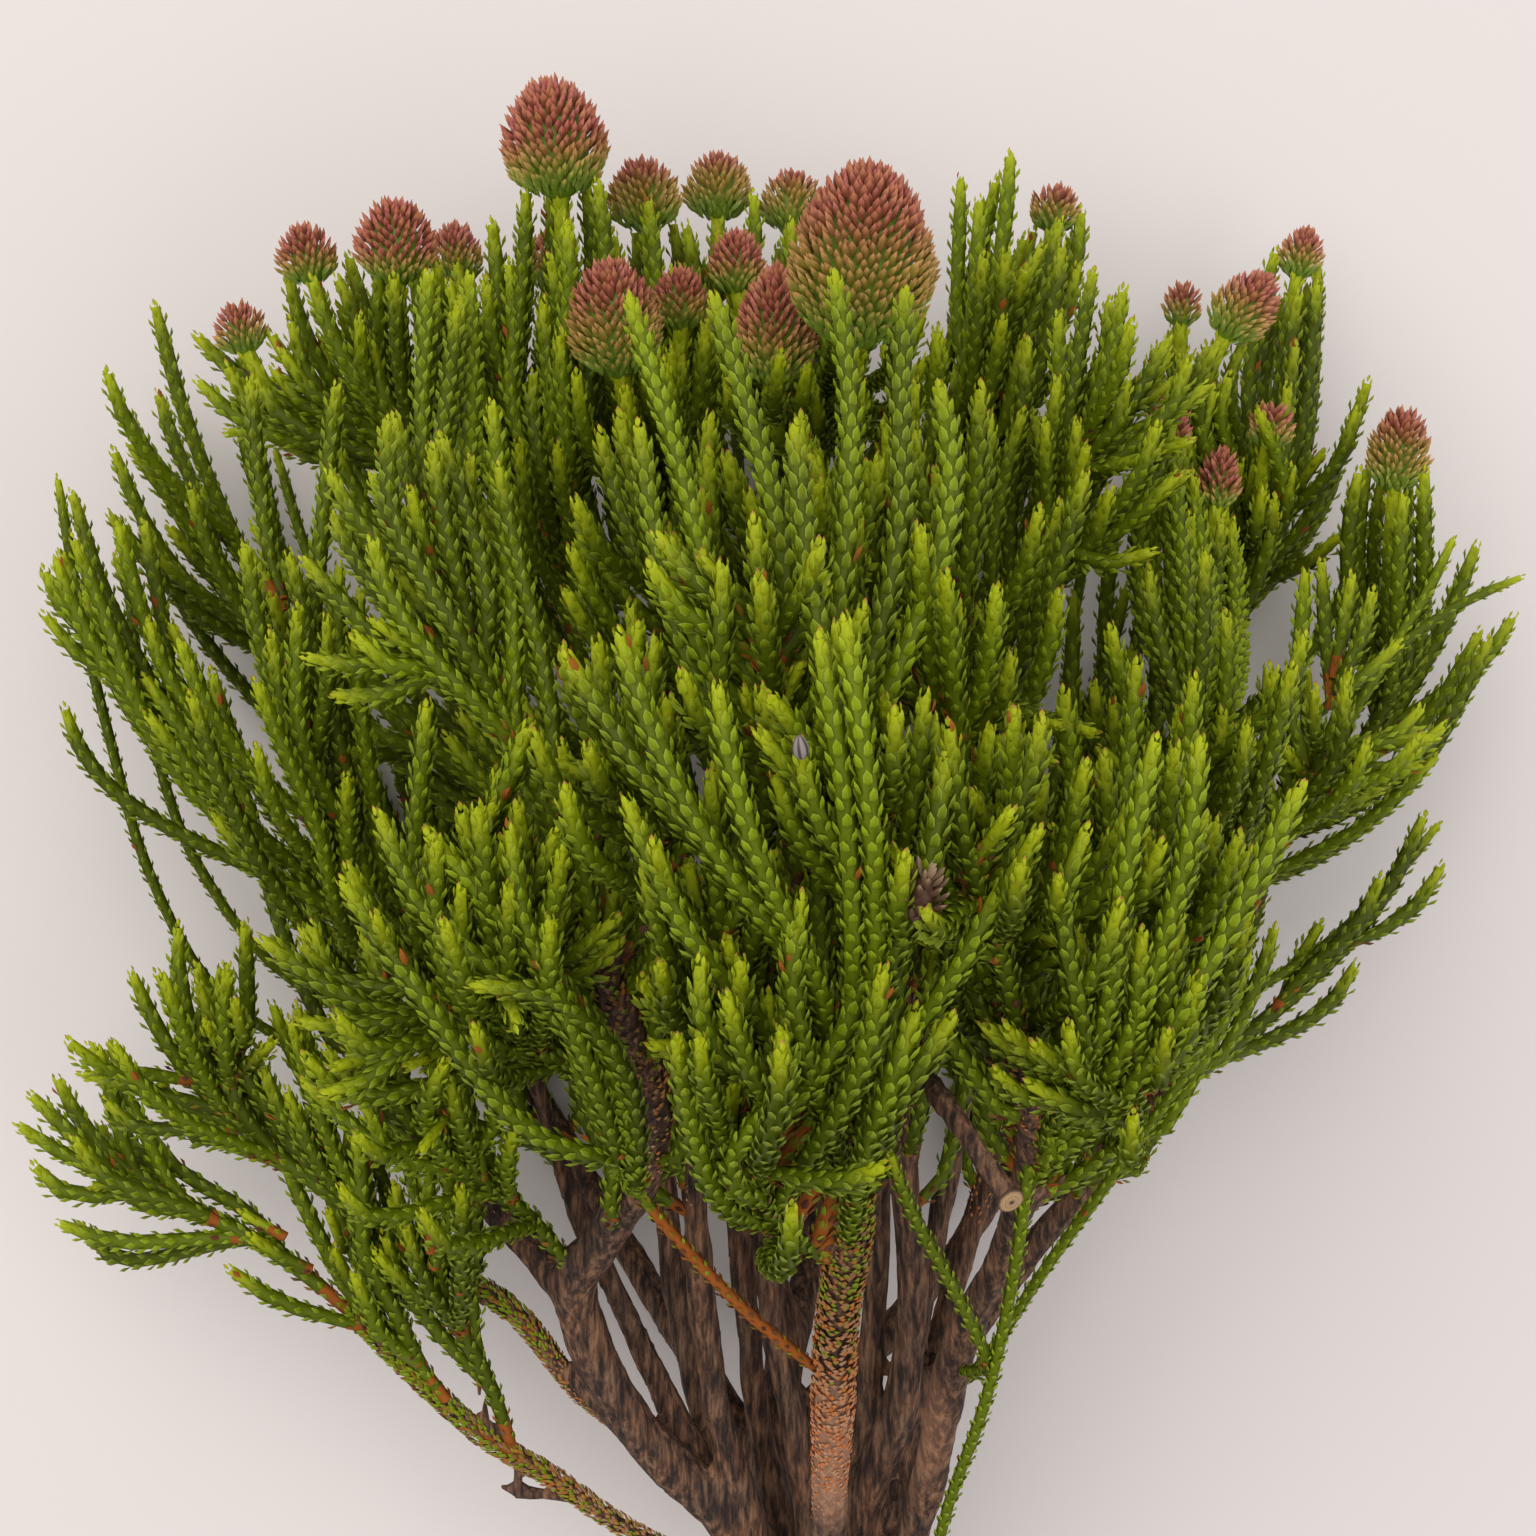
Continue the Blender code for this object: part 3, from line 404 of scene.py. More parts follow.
def grow_strands(limbs):
    """The line of every shoot before the shoots make room for each other.

    A strand knows its spray, its parent strand, the share of the parent where it starts, and the head
    that it carries, if any.
    """
    draw = np.random.default_rng(SEED)
    strands = []
    for name, limb, share, tip, shoots, width in SPRAYS:
        tip = place(*tip)
        _, stub_end, direction = spray_stub(limbs, limb, share, tip)
        root = stub_end + direction * GAP
        rise = unit(unit(tip - root) + np.array((0.0, 1.1, -0.1)))
        axis = len(strands)
        path = bezier(root, direction, tip, rise, POINTS)
        strands.append(dict(spray=name, parent=-1, share=0.0, path=path, head=None))
        length = np.linalg.norm(tip - root)
        turn = draw.uniform(0, 2 * math.pi)
        for number in range(1, shoots):
            start_share = 0.10 + 0.52 * (number - 1) / max(shoots - 2, 1)
            start, forward = along(path, start_share)
            turn += GOLDEN_ANGLE
            side, over = across(forward)
            outward = side * math.cos(turn) + over * math.sin(turn)
            spread = width / 2 * draw.uniform(0.75, 1.1)
            short = length * (0.36 - 0.45 * start_share) * draw.uniform(0.5, 1.4)
            end = tip + outward * spread - rise * short
            arrive = unit(rise + outward * draw.uniform(0.0, 0.2))
            leave = unit(forward + outward * 0.6)
            strands.append(dict(spray=name, parent=axis, share=start_share, head=None,
                    path=bezier(start, leave, end, arrive, POINTS)))
        for head in HEADS:
            if head[1] == name:
                foot, upward = head_axis(head)
                start, forward = along(path, 0.5)
                strands.append(dict(spray=name, parent=axis, share=0.5, head=head[0],
                        path=bezier(start, forward, foot - upward * GAP, upward, POINTS)))
    return strands


print("lines before they make room:", len(grow_strands(limbs)))

# %% [markdown]
# Shoots that grow side by side bend apart. Here they do so by relaxation: again and again each line is pushed
# away from the lines, the wood, the heads and the table that it comes too near, and is then drawn back to its
# own bend and length. The few side shoots that find no room are left out. The plain solids were laid out in
# the same way, so every line here runs inside its solid.

# %% Shoots make room for each other
SHOOT_REACH = 2.0            # from a shoot's middle to its leaf tips
WOOD_SKIP = 5                # samples of a spray's foot that may lie near its own limb
SETTLE_TURNS = 160
LIE_HEIGHT = 1.7             # a shoot on the table lies a little flattened
CROTCH = 14.0                # shoots of one spray may touch this far from their feet
LOOK_AROUND = 5.5            # how much farther than touching the shoots look for neighbours
CROWDED = 4.2                # closest that the middles of two sprays' shoots may come
PUSH = 0.8                   # share of a push that a point of a line follows in one turn
SPAN_PUSH = 0.48             # the same for the push on the middle of a span, at each of its ends
HOMING = 0.03                # share of the way back to its first place that a line goes in one turn
HOMING_UNTIL = 0.75          # share of the turns in which it does
STIFFNESS = 0.25             # share of its first bend that a line takes back in one turn
LIMP = 0.12                  # the same for the extra shoots, which straighten instead


def wood_balls(limbs):
    """Balls along the limbs and stubs, which the shoots keep clear of: centres and radii."""
    rows = [row for path in limbs.values() for row in smooth(path, 4)]
    return np.array(rows)[:, :3], np.array(rows)[:, 3]


def head_balls():
    """Three balls along each flower head: centres, radii and the head's name."""
    centres, radii, names = [], [], []
    for head in HEADS:
        foot, upward = head_axis(head)
        width, height = head[3], head[4]
        for share in (0.35, 0.5, 0.65):
            centres.append(foot + upward * height * share)
            radii.append(width / 2)
            names.append(head[0])
    return np.array(centres), np.array(radii), np.array(names)


def near_pairs(first, second, reach):
    """Index pairs of the places that lie nearer to each other than reach."""
    square = (first ** 2).sum(1)[:, None] + (second ** 2).sum(1)[None] - 2 * first @ second.T
    return np.nonzero(square < reach * reach)


def with_middles(line):
    """The points of every line, with the middle of each span between them."""
    dense = np.empty((len(line), 2 * POINTS - 1, 3))
    dense[:, 0::2] = line
    dense[:, 1::2] = (line[:, :-1] + line[:, 1:]) / 2
    return dense.reshape(-1, 3)


def neighbours(spots, strands, from_foot, obstacles):
    """Who may touch whom: rows of moving spots, what hinders them, the distance needed, their share."""
    (wood, wood_radius), (ball, ball_radius, ball_name) = obstacles
    samples = 2 * POINTS - 1
    owner = np.repeat(np.arange(len(strands)), samples)
    spray = np.array([strand["spray"] for strand in strands])
    side_shoot = np.array([strand["parent"] >= 0 for strand in strands])
    carried = np.array([strand["head"] or "" for strand in strands])

    first, second = near_pairs(spots, spots, 2 * SHOOT_REACH + LOOK_AROUND)
    keep = (first < second) & (owner[first] != owner[second])
    kin = spray[owner[first]] == spray[owner[second]]
    keep &= ~(kin & (np.minimum(from_foot[first], from_foot[second]) < CROTCH))
    first, second, kin = first[keep], second[keep], kin[keep]
    clear = (2 * SHOOT_REACH + GAP) * np.where(kin, 0.95, 1.08)

    on_wood, wood_hit = near_pairs(spots, wood, SHOOT_REACH + wood_radius.max() + LOOK_AROUND)
    keep = side_shoot[owner[on_wood]] | (from_foot[on_wood] > 9)
    on_wood, wood_hit = on_wood[keep], wood_hit[keep]
    on_head, head_hit = near_pairs(spots, ball, SHOOT_REACH + ball_radius.max() + LOOK_AROUND)
    keep = carried[owner[on_head]] != ball_name[head_hit]
    on_head, head_hit = on_head[keep], head_hit[keep]
    fixed = np.vstack((wood[wood_hit], ball[head_hit]))
    fixed_need = SHOOT_REACH + 2 * GAP + np.concatenate((wood_radius[wood_hit], ball_radius[head_hit]))
    return (first, second, clear), (np.concatenate((on_wood, on_head)), fixed, fixed_need)


def shoved(spots, pairs, stops):
    """The move of every spot away from the spots, wood and heads that are too near."""
    push = np.zeros_like(spots)
    hits = np.zeros(len(spots))
    (first, second, clear), (movers, fixed, fixed_need) = pairs, stops
    for who, hinder, needed, share in ((first, spots[second], clear, 0.5),
            (second, spots[first], clear, 0.5),
            (movers, fixed, fixed_need, 1.0)):
        away = spots[who] - hinder
        far = np.linalg.norm(away, axis=1)
        short = np.maximum(needed - far, 0)
        np.add.at(push, who, away / np.maximum(far, 1e-6)[:, None] * (short * share)[:, None])
        np.add.at(hits, who, (short > 0).astype(float))
    push /= np.maximum(hits, 1.0)[:, None]
    return push.reshape(-1, 2 * POINTS - 1, 3)


def settle(strands, limbs):
    """Bend the shoots apart, and off the wood, the heads and the table."""
    home = np.array([strand["path"] for strand in strands])
    line = home.copy()
    steps = np.linalg.norm(np.diff(home, axis=1), axis=2)
    bend = home[:, 1:-1] - (home[:, :-2] + home[:, 2:]) / 2
    trunk = np.array([strand["parent"] < 0 for strand in strands])
    stalk = np.array([strand["head"] is not None for strand in strands])
    samples = 2 * POINTS - 1
    from_foot = np.tile(np.arange(samples), len(strands)) * np.repeat(steps.mean(axis=1), samples) / 2
    obstacles = wood_balls(limbs), head_balls()
    for turn in range(SETTLE_TURNS):
        spots = with_middles(line)
        if turn % 8 == 0:
            pairs, stops = neighbours(spots, strands, from_foot, obstacles)
        push = shoved(spots, pairs, stops)
        line += push[:, 0::2] * PUSH
        line[:, :-1] += push[:, 1::2] * SPAN_PUSH
        line[:, 1:] += push[:, 1::2] * SPAN_PUSH
        if turn < SETTLE_TURNS * HOMING_UNTIL:
            line += (home - line) * HOMING
        line[:, 1:-1] += ((line[:, :-2] + line[:, 2:]) / 2 + bend - line[:, 1:-1]) * STIFFNESS
        line[..., 2] = np.maximum(line[..., 2], FLOOR + LIE_HEIGHT)
        line[stalk, -2:] = home[stalk, -2:]
        line[trunk, :2] = home[trunk, :2]
        for number in np.nonzero(~trunk)[0]:
            line[number, 0], _ = along(line[strands[number]["parent"]], strands[number]["share"])
        line[~trunk, 1] = line[~trunk, 0] + (home[~trunk, 1] - home[~trunk, 0])
        for step in range(2, POINTS):
            span = line[~stalk, step] - line[~stalk, step - 1]
            span *= (steps[~stalk, step - 1] / np.linalg.norm(span, axis=1))[:, None]
            line[~stalk, step] = line[~stalk, step - 1] + span
        line[..., 2] = np.maximum(line[..., 2], FLOOR + LIE_HEIGHT)
    for strand, path in zip(strands, line):
        strand["path"] = path
    return strands


def crowded_pairs(strands, limbs):
    """Which shoots touch the wood or a strange flower head, and which pairs of sprays' shoots touch."""
    share = np.linspace(0, POINTS - 1, 3 * POINTS - 2)
    lines = np.array([[along(s["path"], spot / (POINTS - 1))[0] for spot in share] for s in strands])
    wood, wood_radius = wood_balls(limbs)
    ball, ball_radius, ball_name = head_balls()
    alone, pairs = set(), set()
    for number, strand in enumerate(strands):
        spots = lines[number]
        skip = 0 if strand["parent"] >= 0 else WOOD_SKIP
        off_wood = np.linalg.norm(wood[None] - spots[skip:, None], axis=2) - wood_radius
        strange = ball_name != (strand["head"] or "")
        off_heads = np.linalg.norm(ball[strange][None] - spots[:, None], axis=2) - ball_radius[strange]
        if min(off_wood.min(), off_heads.min()) < SHOOT_REACH:
            alone.add(number)
        for other in range(number):
            if strands[other]["spray"] != strand["spray"]:
                square = ((spots[:, None] - lines[other][None]) ** 2).sum(axis=2)
                if square.min() < CROWDED ** 2:
                    pairs.add((other, number))
    return alone, pairs


def thin_out(strands, limbs):
    """Leave out the side shoots that found no room, the most crowded first."""
    alone, pairs = crowded_pairs(strands, limbs)
    spare = {i for i, strand in enumerate(strands) if strand["parent"] >= 0 and strand["head"] is None}
    dropped = alone & spare
    while True:
        open_pairs = [pair for pair in pairs if not dropped & set(pair)]
        crowd = [number for pair in open_pairs for number in pair if number in spare]
        if not crowd:
            break
        dropped.add(max(sorted(set(crowd)), key=crowd.count))
    return [strand for number, strand in enumerate(strands) if number not in dropped]


strands = thin_out(settle(grow_strands(limbs), limbs), limbs)
print("shoots and stalks:", len(strands))

# %% [markdown]
# A living bush is denser than solids that may not touch each other. More shoots are tucked into the room
# between the first ones. Some leave a middle shoot and aim anywhere in its bunch, some sit on side twigs
# that are listed, and some grow straight from a limb. They are pushed clear in the same way, while
# the first shoots keep still. Leaves may brush here, so the lines come closer together. A ring of short ones
# stands round the stalk of each head, and the long single shoots that catch the eye are listed one by one.

# %% Shoots in between
FILL_SEED = 21
FILL_SHARE = 1.0             # extra shoots for each shoot of a spray
OPEN_SPRAYS = ("spray_right_edge", "spray_right_arc", "spray_far_right", "spray_left_edge")
OPEN_SHARE = 0.3             # the same for the open sprays at the edge of the bush
COMPANIONS = 7               # shoots that stand round the stalk of each flower head
FLATNESS = 0.55              # an extra shoot that points more at the eye than this is left out
TUCK_TURNS = 60
TUCK_CLEAR = 3.35            # distance that the extra shoots try to keep from a line
TUCK_LEAST = 2.4             # and the least with which they may stay
TUCK_LOOK = 2.5              # how much farther than touching they look for neighbours
LAYER = 10.0                 # height of a layer in the search for neighbours
LEAFY_FROM = 46.0            # limbs bear shoots of their own above this height
LIMB_STEP = 4.0

# Side twigs: spray or limb that carries it, share of the way along it, tip (x, y, h), shoots, width
TWIGS = [
    ("spray_top_left", 0.35, (-84, 172, -30), 5, 14),
    ("spray_top_left_inner", 0.40, (-43, 180, -14), 7, 16),
    ("spray_left_inner", 0.50, (-51, 171, 2), 7, 18),
    ("spray_left_middle", 0.40, (-70, 160, -8), 7, 16),
    ("spray_top_left_inner", 0.30, (-31, 170, 0), 6, 16),
    ("spray_top_right", 0.35, (26, 187, -10), 6, 10),
    ("spray_crown_right", 0.40, (45, 172, -8), 7, 16),
    ("spray_top_right", 0.30, (37, 178, -20), 6, 14),
    ("spray_far_right", 0.30, (58, 160, -30), 7, 16),
    ("spray_far_right", 0.30, (70, 158, -36), 5, 14),
    ("spray_right", 0.30, (72, 142, -26), 6, 20),
    ("spray_crown_right", 0.15, (38, 148, 8), 8, 20),
    ("spray_right_front", 0.30, (44, 124, 26), 8, 18),
    ("spray_centre_right", 0.30, (30, 120, 30), 7, 16),
    ("spray_left_inner", 0.30, (-58, 134, 24), 8, 20),
    ("spray_left_front", 0.40, (-46, 116, 34), 8, 18),
    ("spray_left_arc", 0.05, (-99, 145, -40), 3, 8),
    ("spray_left_edge", 0.30, (-92, 150, -40), 5, 14),
    ("spray_left_elbow", 0.25, (-66, 84, 0), 6, 16),
    ("spray_low_side", 0.30, (-74, 84, -10), 6, 18),
    ("spray_left_elbow", 0.30, (-48, 76, 22), 6, 14),
    ("spray_low_left_twig", 0.30, (-50, 56, 4), 6, 16),
    ("low_left", 0.86, (-78, 62, -26), 4, 12),
    ("low_left", 0.78, (-68, 68, -22), 5, 12),
    ("low_left", 0.66, (-60, 62, -16), 4, 12),
    ("low_side", 0.80, (-70, 74, -14), 5, 12),
    ("spray_left_near", 0.30, (-28, 92, 30), 7, 14),
    ("spray_front_low", 0.20, (-10, 76, 40), 7, 12),
    ("spray_front_side", 0.20, (-18, 84, 40), 6, 12),
    ("spray_right_low", 0.30, (26, 76, 36), 7, 14),
    ("spray_right_near", 0.30, (22, 92, 44), 7, 14),
    ("inner_left", 1.0, (-38, 116, -16), 8, 26),
    ("back_left", 0.7, (-66, 144, -42), 7, 24),
    ("under_left", 0.9, (-56, 128, -52), 5, 26),
    ("under_middle", 0.9, (10, 150, -52), 5, 26),
    ("under_right", 0.9, (42, 128, -52), 6, 26),
    ("inner_middle", 1.0, (-4, 116, -28), 8, 26),
    ("inner_right", 1.0, (38, 118, -36), 8, 28),
    ("inner_right", 0.9, (48, 140, -30), 7, 26),
    ("back_middle", 0.8, (12, 152, -36), 7, 26),
    ("back_left", 0.8, (-62, 142, -38), 7, 26),
    ("left_outer", 0.6, (-52, 104, -24), 7, 24),
    ("inner_left", 0.6, (-34, 84, -22), 6, 20),
    ("inner_right", 0.6, (24, 84, -38), 6, 20),
]

# Single long shoots: spray or limb that carries them, dry length at the foot, places (x, y, h)
ARCS = [
    ("right_front", 20, [(17, -2, -14), (20, 8, -6), (25, 22, 6), (29, 41, 16), (31, 60, 24), (30, 74, 28)]),
    ("right_front", 5, [(25, 26, 8), (20, 37, 14), (15, 46, 20), (12, 54, 26)]),
    ("front", 52, [(4, 24, 1), (-6, 32, 8), (-13, 39, 13), (-20, 47, 17), (-25, 54, 20), (-30, 66, 24),
        (-33, 80, 28)]),
    ("under_left", 6, [(-62, 66, -52), (-78, 76, -46), (-87, 92, -42), (-92, 109, -40), (-96, 126, -40),
        (-99, 144, -40)]),
    ("under_left", 6, [(-66, 76, -56), (-80, 92, -52), (-86, 108, -50), (-89, 124, -50), (-90, 138, -50)]),
    ("right", 6, [(44, 70, -26), (58, 75, -30), (70, 82, -34), (79, 91, -36), (85, 98, -38)]),
    ("right", 14, [(24, 26, -22), (32, 38, -14), (40, 49, -10), (48, 60, -8), (54, 70, -8), (58, 86, -8)]),
    ("right", 6, [(56, 100, -28), (66, 110, -30), (76, 119, -30), (87, 127, -30), (96, 131, -30)]),
    ("right", 4, [(78, 120, -30), (83, 128, -30), (87, 136, -30)]),
    ("back_left", 6, [(-30, 100, -40), (-44, 112, -44), (-56, 128, -46), (-63, 146, -46)]),
    ("back_left", 6, [(-30, 103, -38), (-46, 120, -44), (-58, 140, -44), (-64, 158, -40)]),
    ("back_left", 6, [(-30, 96, -40), (-52, 112, -44), (-64, 130, -44), (-70, 148, -42)]),
    ("inner_right", 6, [(30, 72, -42), (34, 96, -44), (36, 122, -42), (40, 146, -38)]),
    ("inner_right", 6, [(30, 72, -42), (30, 98, -46), (30, 124, -44), (32, 148, -40)]),
    ("middle", 6, [(24, 112, -16), (20, 130, -12), (14, 146, -8), (11, 162, -4)]),
    ("spray_front", 12, [(5, 60, 34), (7, 78, 54), (6, 100, 67), (2.6, 122.7, 68)]),
    ("spray_front", 12, [(6, 62, 35), (10, 80, 56), (9.3, 101, 69), (6, 125, 70)]),
    ("spray_front", 14, [(5, 62, 34), (3, 75, 52), (-5, 92, 64), (-9, 105, 67), (-11, 116, 67)]),
    ("spray_front_low", 14, [(4, 66, 38), (-1, 80, 54), (-13, 97, 62), (-20, 111, 63), (-24, 123, 62)]),
    ("spray_front_low", 12, [(3, 70, 40), (-7, 88, 54), (-21, 105, 58), (-30.7, 120, 57)]),
    ("spray_front_low", 14, [(5, 58, 32), (-4, 70, 48), (-16, 85, 56), (-23, 101, 57)]),
    ("spray_front", 12, [(6, 62, 35), (11, 77, 54), (17, 92, 63), (19.3, 107, 64)]),
    ("spray_front_low", 14, [(6, 52, 27), (11, 64, 42), (21, 79, 53), (27.3, 91, 54)]),
    ("spray_front_low", 14, [(6, 50, 26), (3, 60, 44), (-1, 75, 58), (0, 88, 60)]),
    ("spray_front_low", 12, [(6, 44, 20), (8, 51, 36), (13, 61, 47), (20, 72, 50)]),
    ("spray_front_low", 12, [(6, 42, 19), (8, 52, 38), (12, 63, 49), (15.3, 73, 50)]),
    ("spray_front_upper", 8, [(2, 92, 46), (4, 112, 58), (1, 133, 58), (-0.7, 150.7, 51)]),
    ("spray_front_upper", 8, [(2, 110, 50), (6, 135, 50), (6.6, 155, 44), (4.6, 171, 39)]),
    ("spray_front_upper", 8, [(6, 110, 48), (13, 135, 48), (13.3, 155, 43), (14, 168.7, 38)]),
    ("spray_front_upper", 8, [(8, 108, 46), (18, 132, 46), (20, 145, 42), (18.6, 156, 38)]),
    ("spray_front_left", 8, [(-4, 100, 44), (-14, 118, 49), (-18.7, 133, 47), (-21.4, 150.7, 42)]),
    ("spray_front_left", 8, [(-6, 108, 44), (-12, 130, 46), (-17.4, 150.7, 40), (-22.7, 168, 34)]),
    ("spray_front_upper", 8, [(0, 108, 48), (-2.7, 136, 50), (-6.7, 152, 44), (-11.4, 168, 38)]),
    ("spray_left_near", 10, [(-22, 50, 18), (-24, 60, 26), (-32, 72, 33), (-49, 85, 36), (-56, 99, 36)]),
    ("spray_left_near", 10, [(-23, 52, 19), (-25, 66, 30), (-36, 81, 37), (-49.4, 96.7, 39)]),
    ("spray_left_near", 10, [(-24, 53, 20), (-27, 62, 30), (-32, 75, 38), (-37, 86, 42), (-38.7, 97.3, 43)]),
    ("spray_left_near", 10, [(-22, 50, 18), (-23, 64, 30), (-32, 74.5, 38), (-43.4, 76.7, 40)]),
    ("spray_left_near", 10, [(-24, 54, 20), (-36, 57, 26), (-44, 66, 30), (-51, 76, 33), (-60.7, 90, 33)]),
    ("spray_right_near", 10, [(31, 55, 21), (38, 66, 40), (35, 86, 52), (38, 97, 53)]),
    ("spray_right_near", 10, [(31, 55, 21), (40, 70, 42), (43, 90, 52), (47.3, 109, 52)]),
    ("spray_right_near", 10, [(31, 53, 20), (43, 68, 40), (51, 92, 48), (53.3, 109, 48)]),
    ("spray_right_low", 10, [(30, 50, 17), (45, 64, 36), (57, 84, 42), (66.6, 102.7, 40)]),
]

LONE_SLIM = 0.72             # girth of the lone shoots beside that of the others


def side_shoot(draw, path, width, tip, rise, where, spray):
    """One extra shoot that leaves a path somewhere and aims into the bunch round the tip."""
    start, forward = along(path, draw.uniform(*where))
    side, over = across(forward)
    turn = draw.uniform(0, 2 * math.pi)
    outward = side * math.cos(turn) + over * math.sin(turn)
    spread = width / 2 * math.sqrt(draw.uniform(0.05, 1.5))
    length = np.linalg.norm(tip - path[0])
    end = tip + outward * spread * (1, 1, 0.6) - rise * length * draw.uniform(0.0, 0.5)
    return dict(spray=spray, head=None, parent=0, path=bezier(
        start, unit(forward + outward * 0.35), end, unit(rise + (0, 0.5, -0.2)), POINTS))


def grow_fillers(settled, limbs):
    """Lines of the extra shoots on the sprays and on the side twigs, before they make room."""
    draw = np.random.default_rng(FILL_SEED)
    trunks = {strand["spray"]: strand["path"] for strand in settled if strand["parent"] < 0}
    trunks.update({name: path[:, :3] for name, path in limbs.items()})
    fillers = []
    for name, _, _, _, shoots, width in SPRAYS:
        tip, rise = along(trunks[name], 1.0)
        share = OPEN_SHARE if name in OPEN_SPRAYS else FILL_SHARE
        fillers += [side_shoot(draw, trunks[name], width, tip, rise, (0.08, 0.62), name)
                    for _ in range(round(shoots * share))]
    for name, share, tip, shoots, width in TWIGS:
        foot, forward = along(trunks[name], share)
        tip = place(*tip)
        rise = unit(unit(tip - foot) + np.array((0.0, 1.1, -0.1)))
        twig = bezier(foot, forward, tip, rise, POINTS)
        piece = name + "_shoots" * (name in limbs)
        fillers.append(dict(spray=piece, head=None, parent=0, path=twig))
        fillers += [side_shoot(draw, twig, width, tip, rise, (0.05, 0.55), piece) for _ in range(shoots)]
    return fillers


def grow_companions(settled):
    """Shoots that stand close round the stalk of each flower head and reach its lowest bracts."""
    draw = np.random.default_rng(FILL_SEED + 2)
    shoots = []
    for strand in settled:
        if strand["head"] is None:
            continue
        head = next(row for row in HEADS if row[0] == strand["head"])
        foot, upward = head_axis(head)
        side, over = across(upward)
        for number in range(COMPANIONS):
            turn = number * GOLDEN_ANGLE
            outward = side * math.cos(turn) + over * math.sin(turn)
            start, forward = along(strand["path"], draw.uniform(0.02, 0.30))
            aside = head[3] * draw.uniform(0.24, 0.52) + 1.2
            end = foot + outward * aside + upward * draw.uniform(-9.0, 2.5)
            shoots.append(dict(spray=strand["spray"], head=None, parent=0, path=bezier(
                start, unit(forward + outward * 0.5), end, unit(upward - outward * 0.1), POINTS)))
    return shoots


def grow_on_limbs(limbs):
    """Lines of the shoots that stand on the leafy part of each limb, before they make room."""
    draw = np.random.default_rng(FILL_SEED + 1)
    shoots = []
    for name, path in limbs.items():
        if name in ("main", "trimmed_twig"):
            continue
        dense = smooth(path, 8)
        walked = walked_along(dense[:, :3])
        turn = draw.uniform(0, 2 * math.pi)
        for at in np.arange(2.0, walked[-1], LIMB_STEP):
            spot = np.array([np.interp(at, walked, dense[:, axis]) for axis in range(4)])
            near = 1 - spot[2] / SIGHT
            if SIGHT_Y + (spot[1] - SIGHT_Y) / near < LEAFY_FROM:
                continue
            _, forward = along(dense[:, :3], at / walked[-1])
            turn += GOLDEN_ANGLE
            side, over = across(forward)
            outward = side * math.cos(turn) + over * math.sin(turn)
            length = draw.uniform(26.0, 44.0)
            rise = unit(forward + np.array((0.0, 1.0, -0.35)))
            start = spot[:3] + outward * spot[3] * 0.6
            end = start + rise * length * 0.9 + outward * length * draw.uniform(0.15, 0.38)
            shoots.append(dict(spray=name + "_shoots", head=None, parent=0, path=bezier(
                start, unit(forward * 0.6 + outward), end, rise, POINTS)))
    return shoots


def near_in_layers(first, second, reach):
    """As near_pairs, but layer by layer up the bush, which keeps the tables of distances small."""
    ours_found, theirs_found = [], []
    for low in np.arange(first[:, 1].min(), first[:, 1].max() + LAYER, LAYER):
        ours = np.nonzero((first[:, 1] >= low) & (first[:, 1] < low + LAYER))[0]
        theirs = np.nonzero((second[:, 1] > low - reach) & (second[:, 1] < low + LAYER + reach))[0]
        one, other = near_pairs(first[ours], second[theirs], reach)
        ours_found.append(ours[one])
        theirs_found.append(theirs[other])
    return np.concatenate(ours_found), np.concatenate(theirs_found)


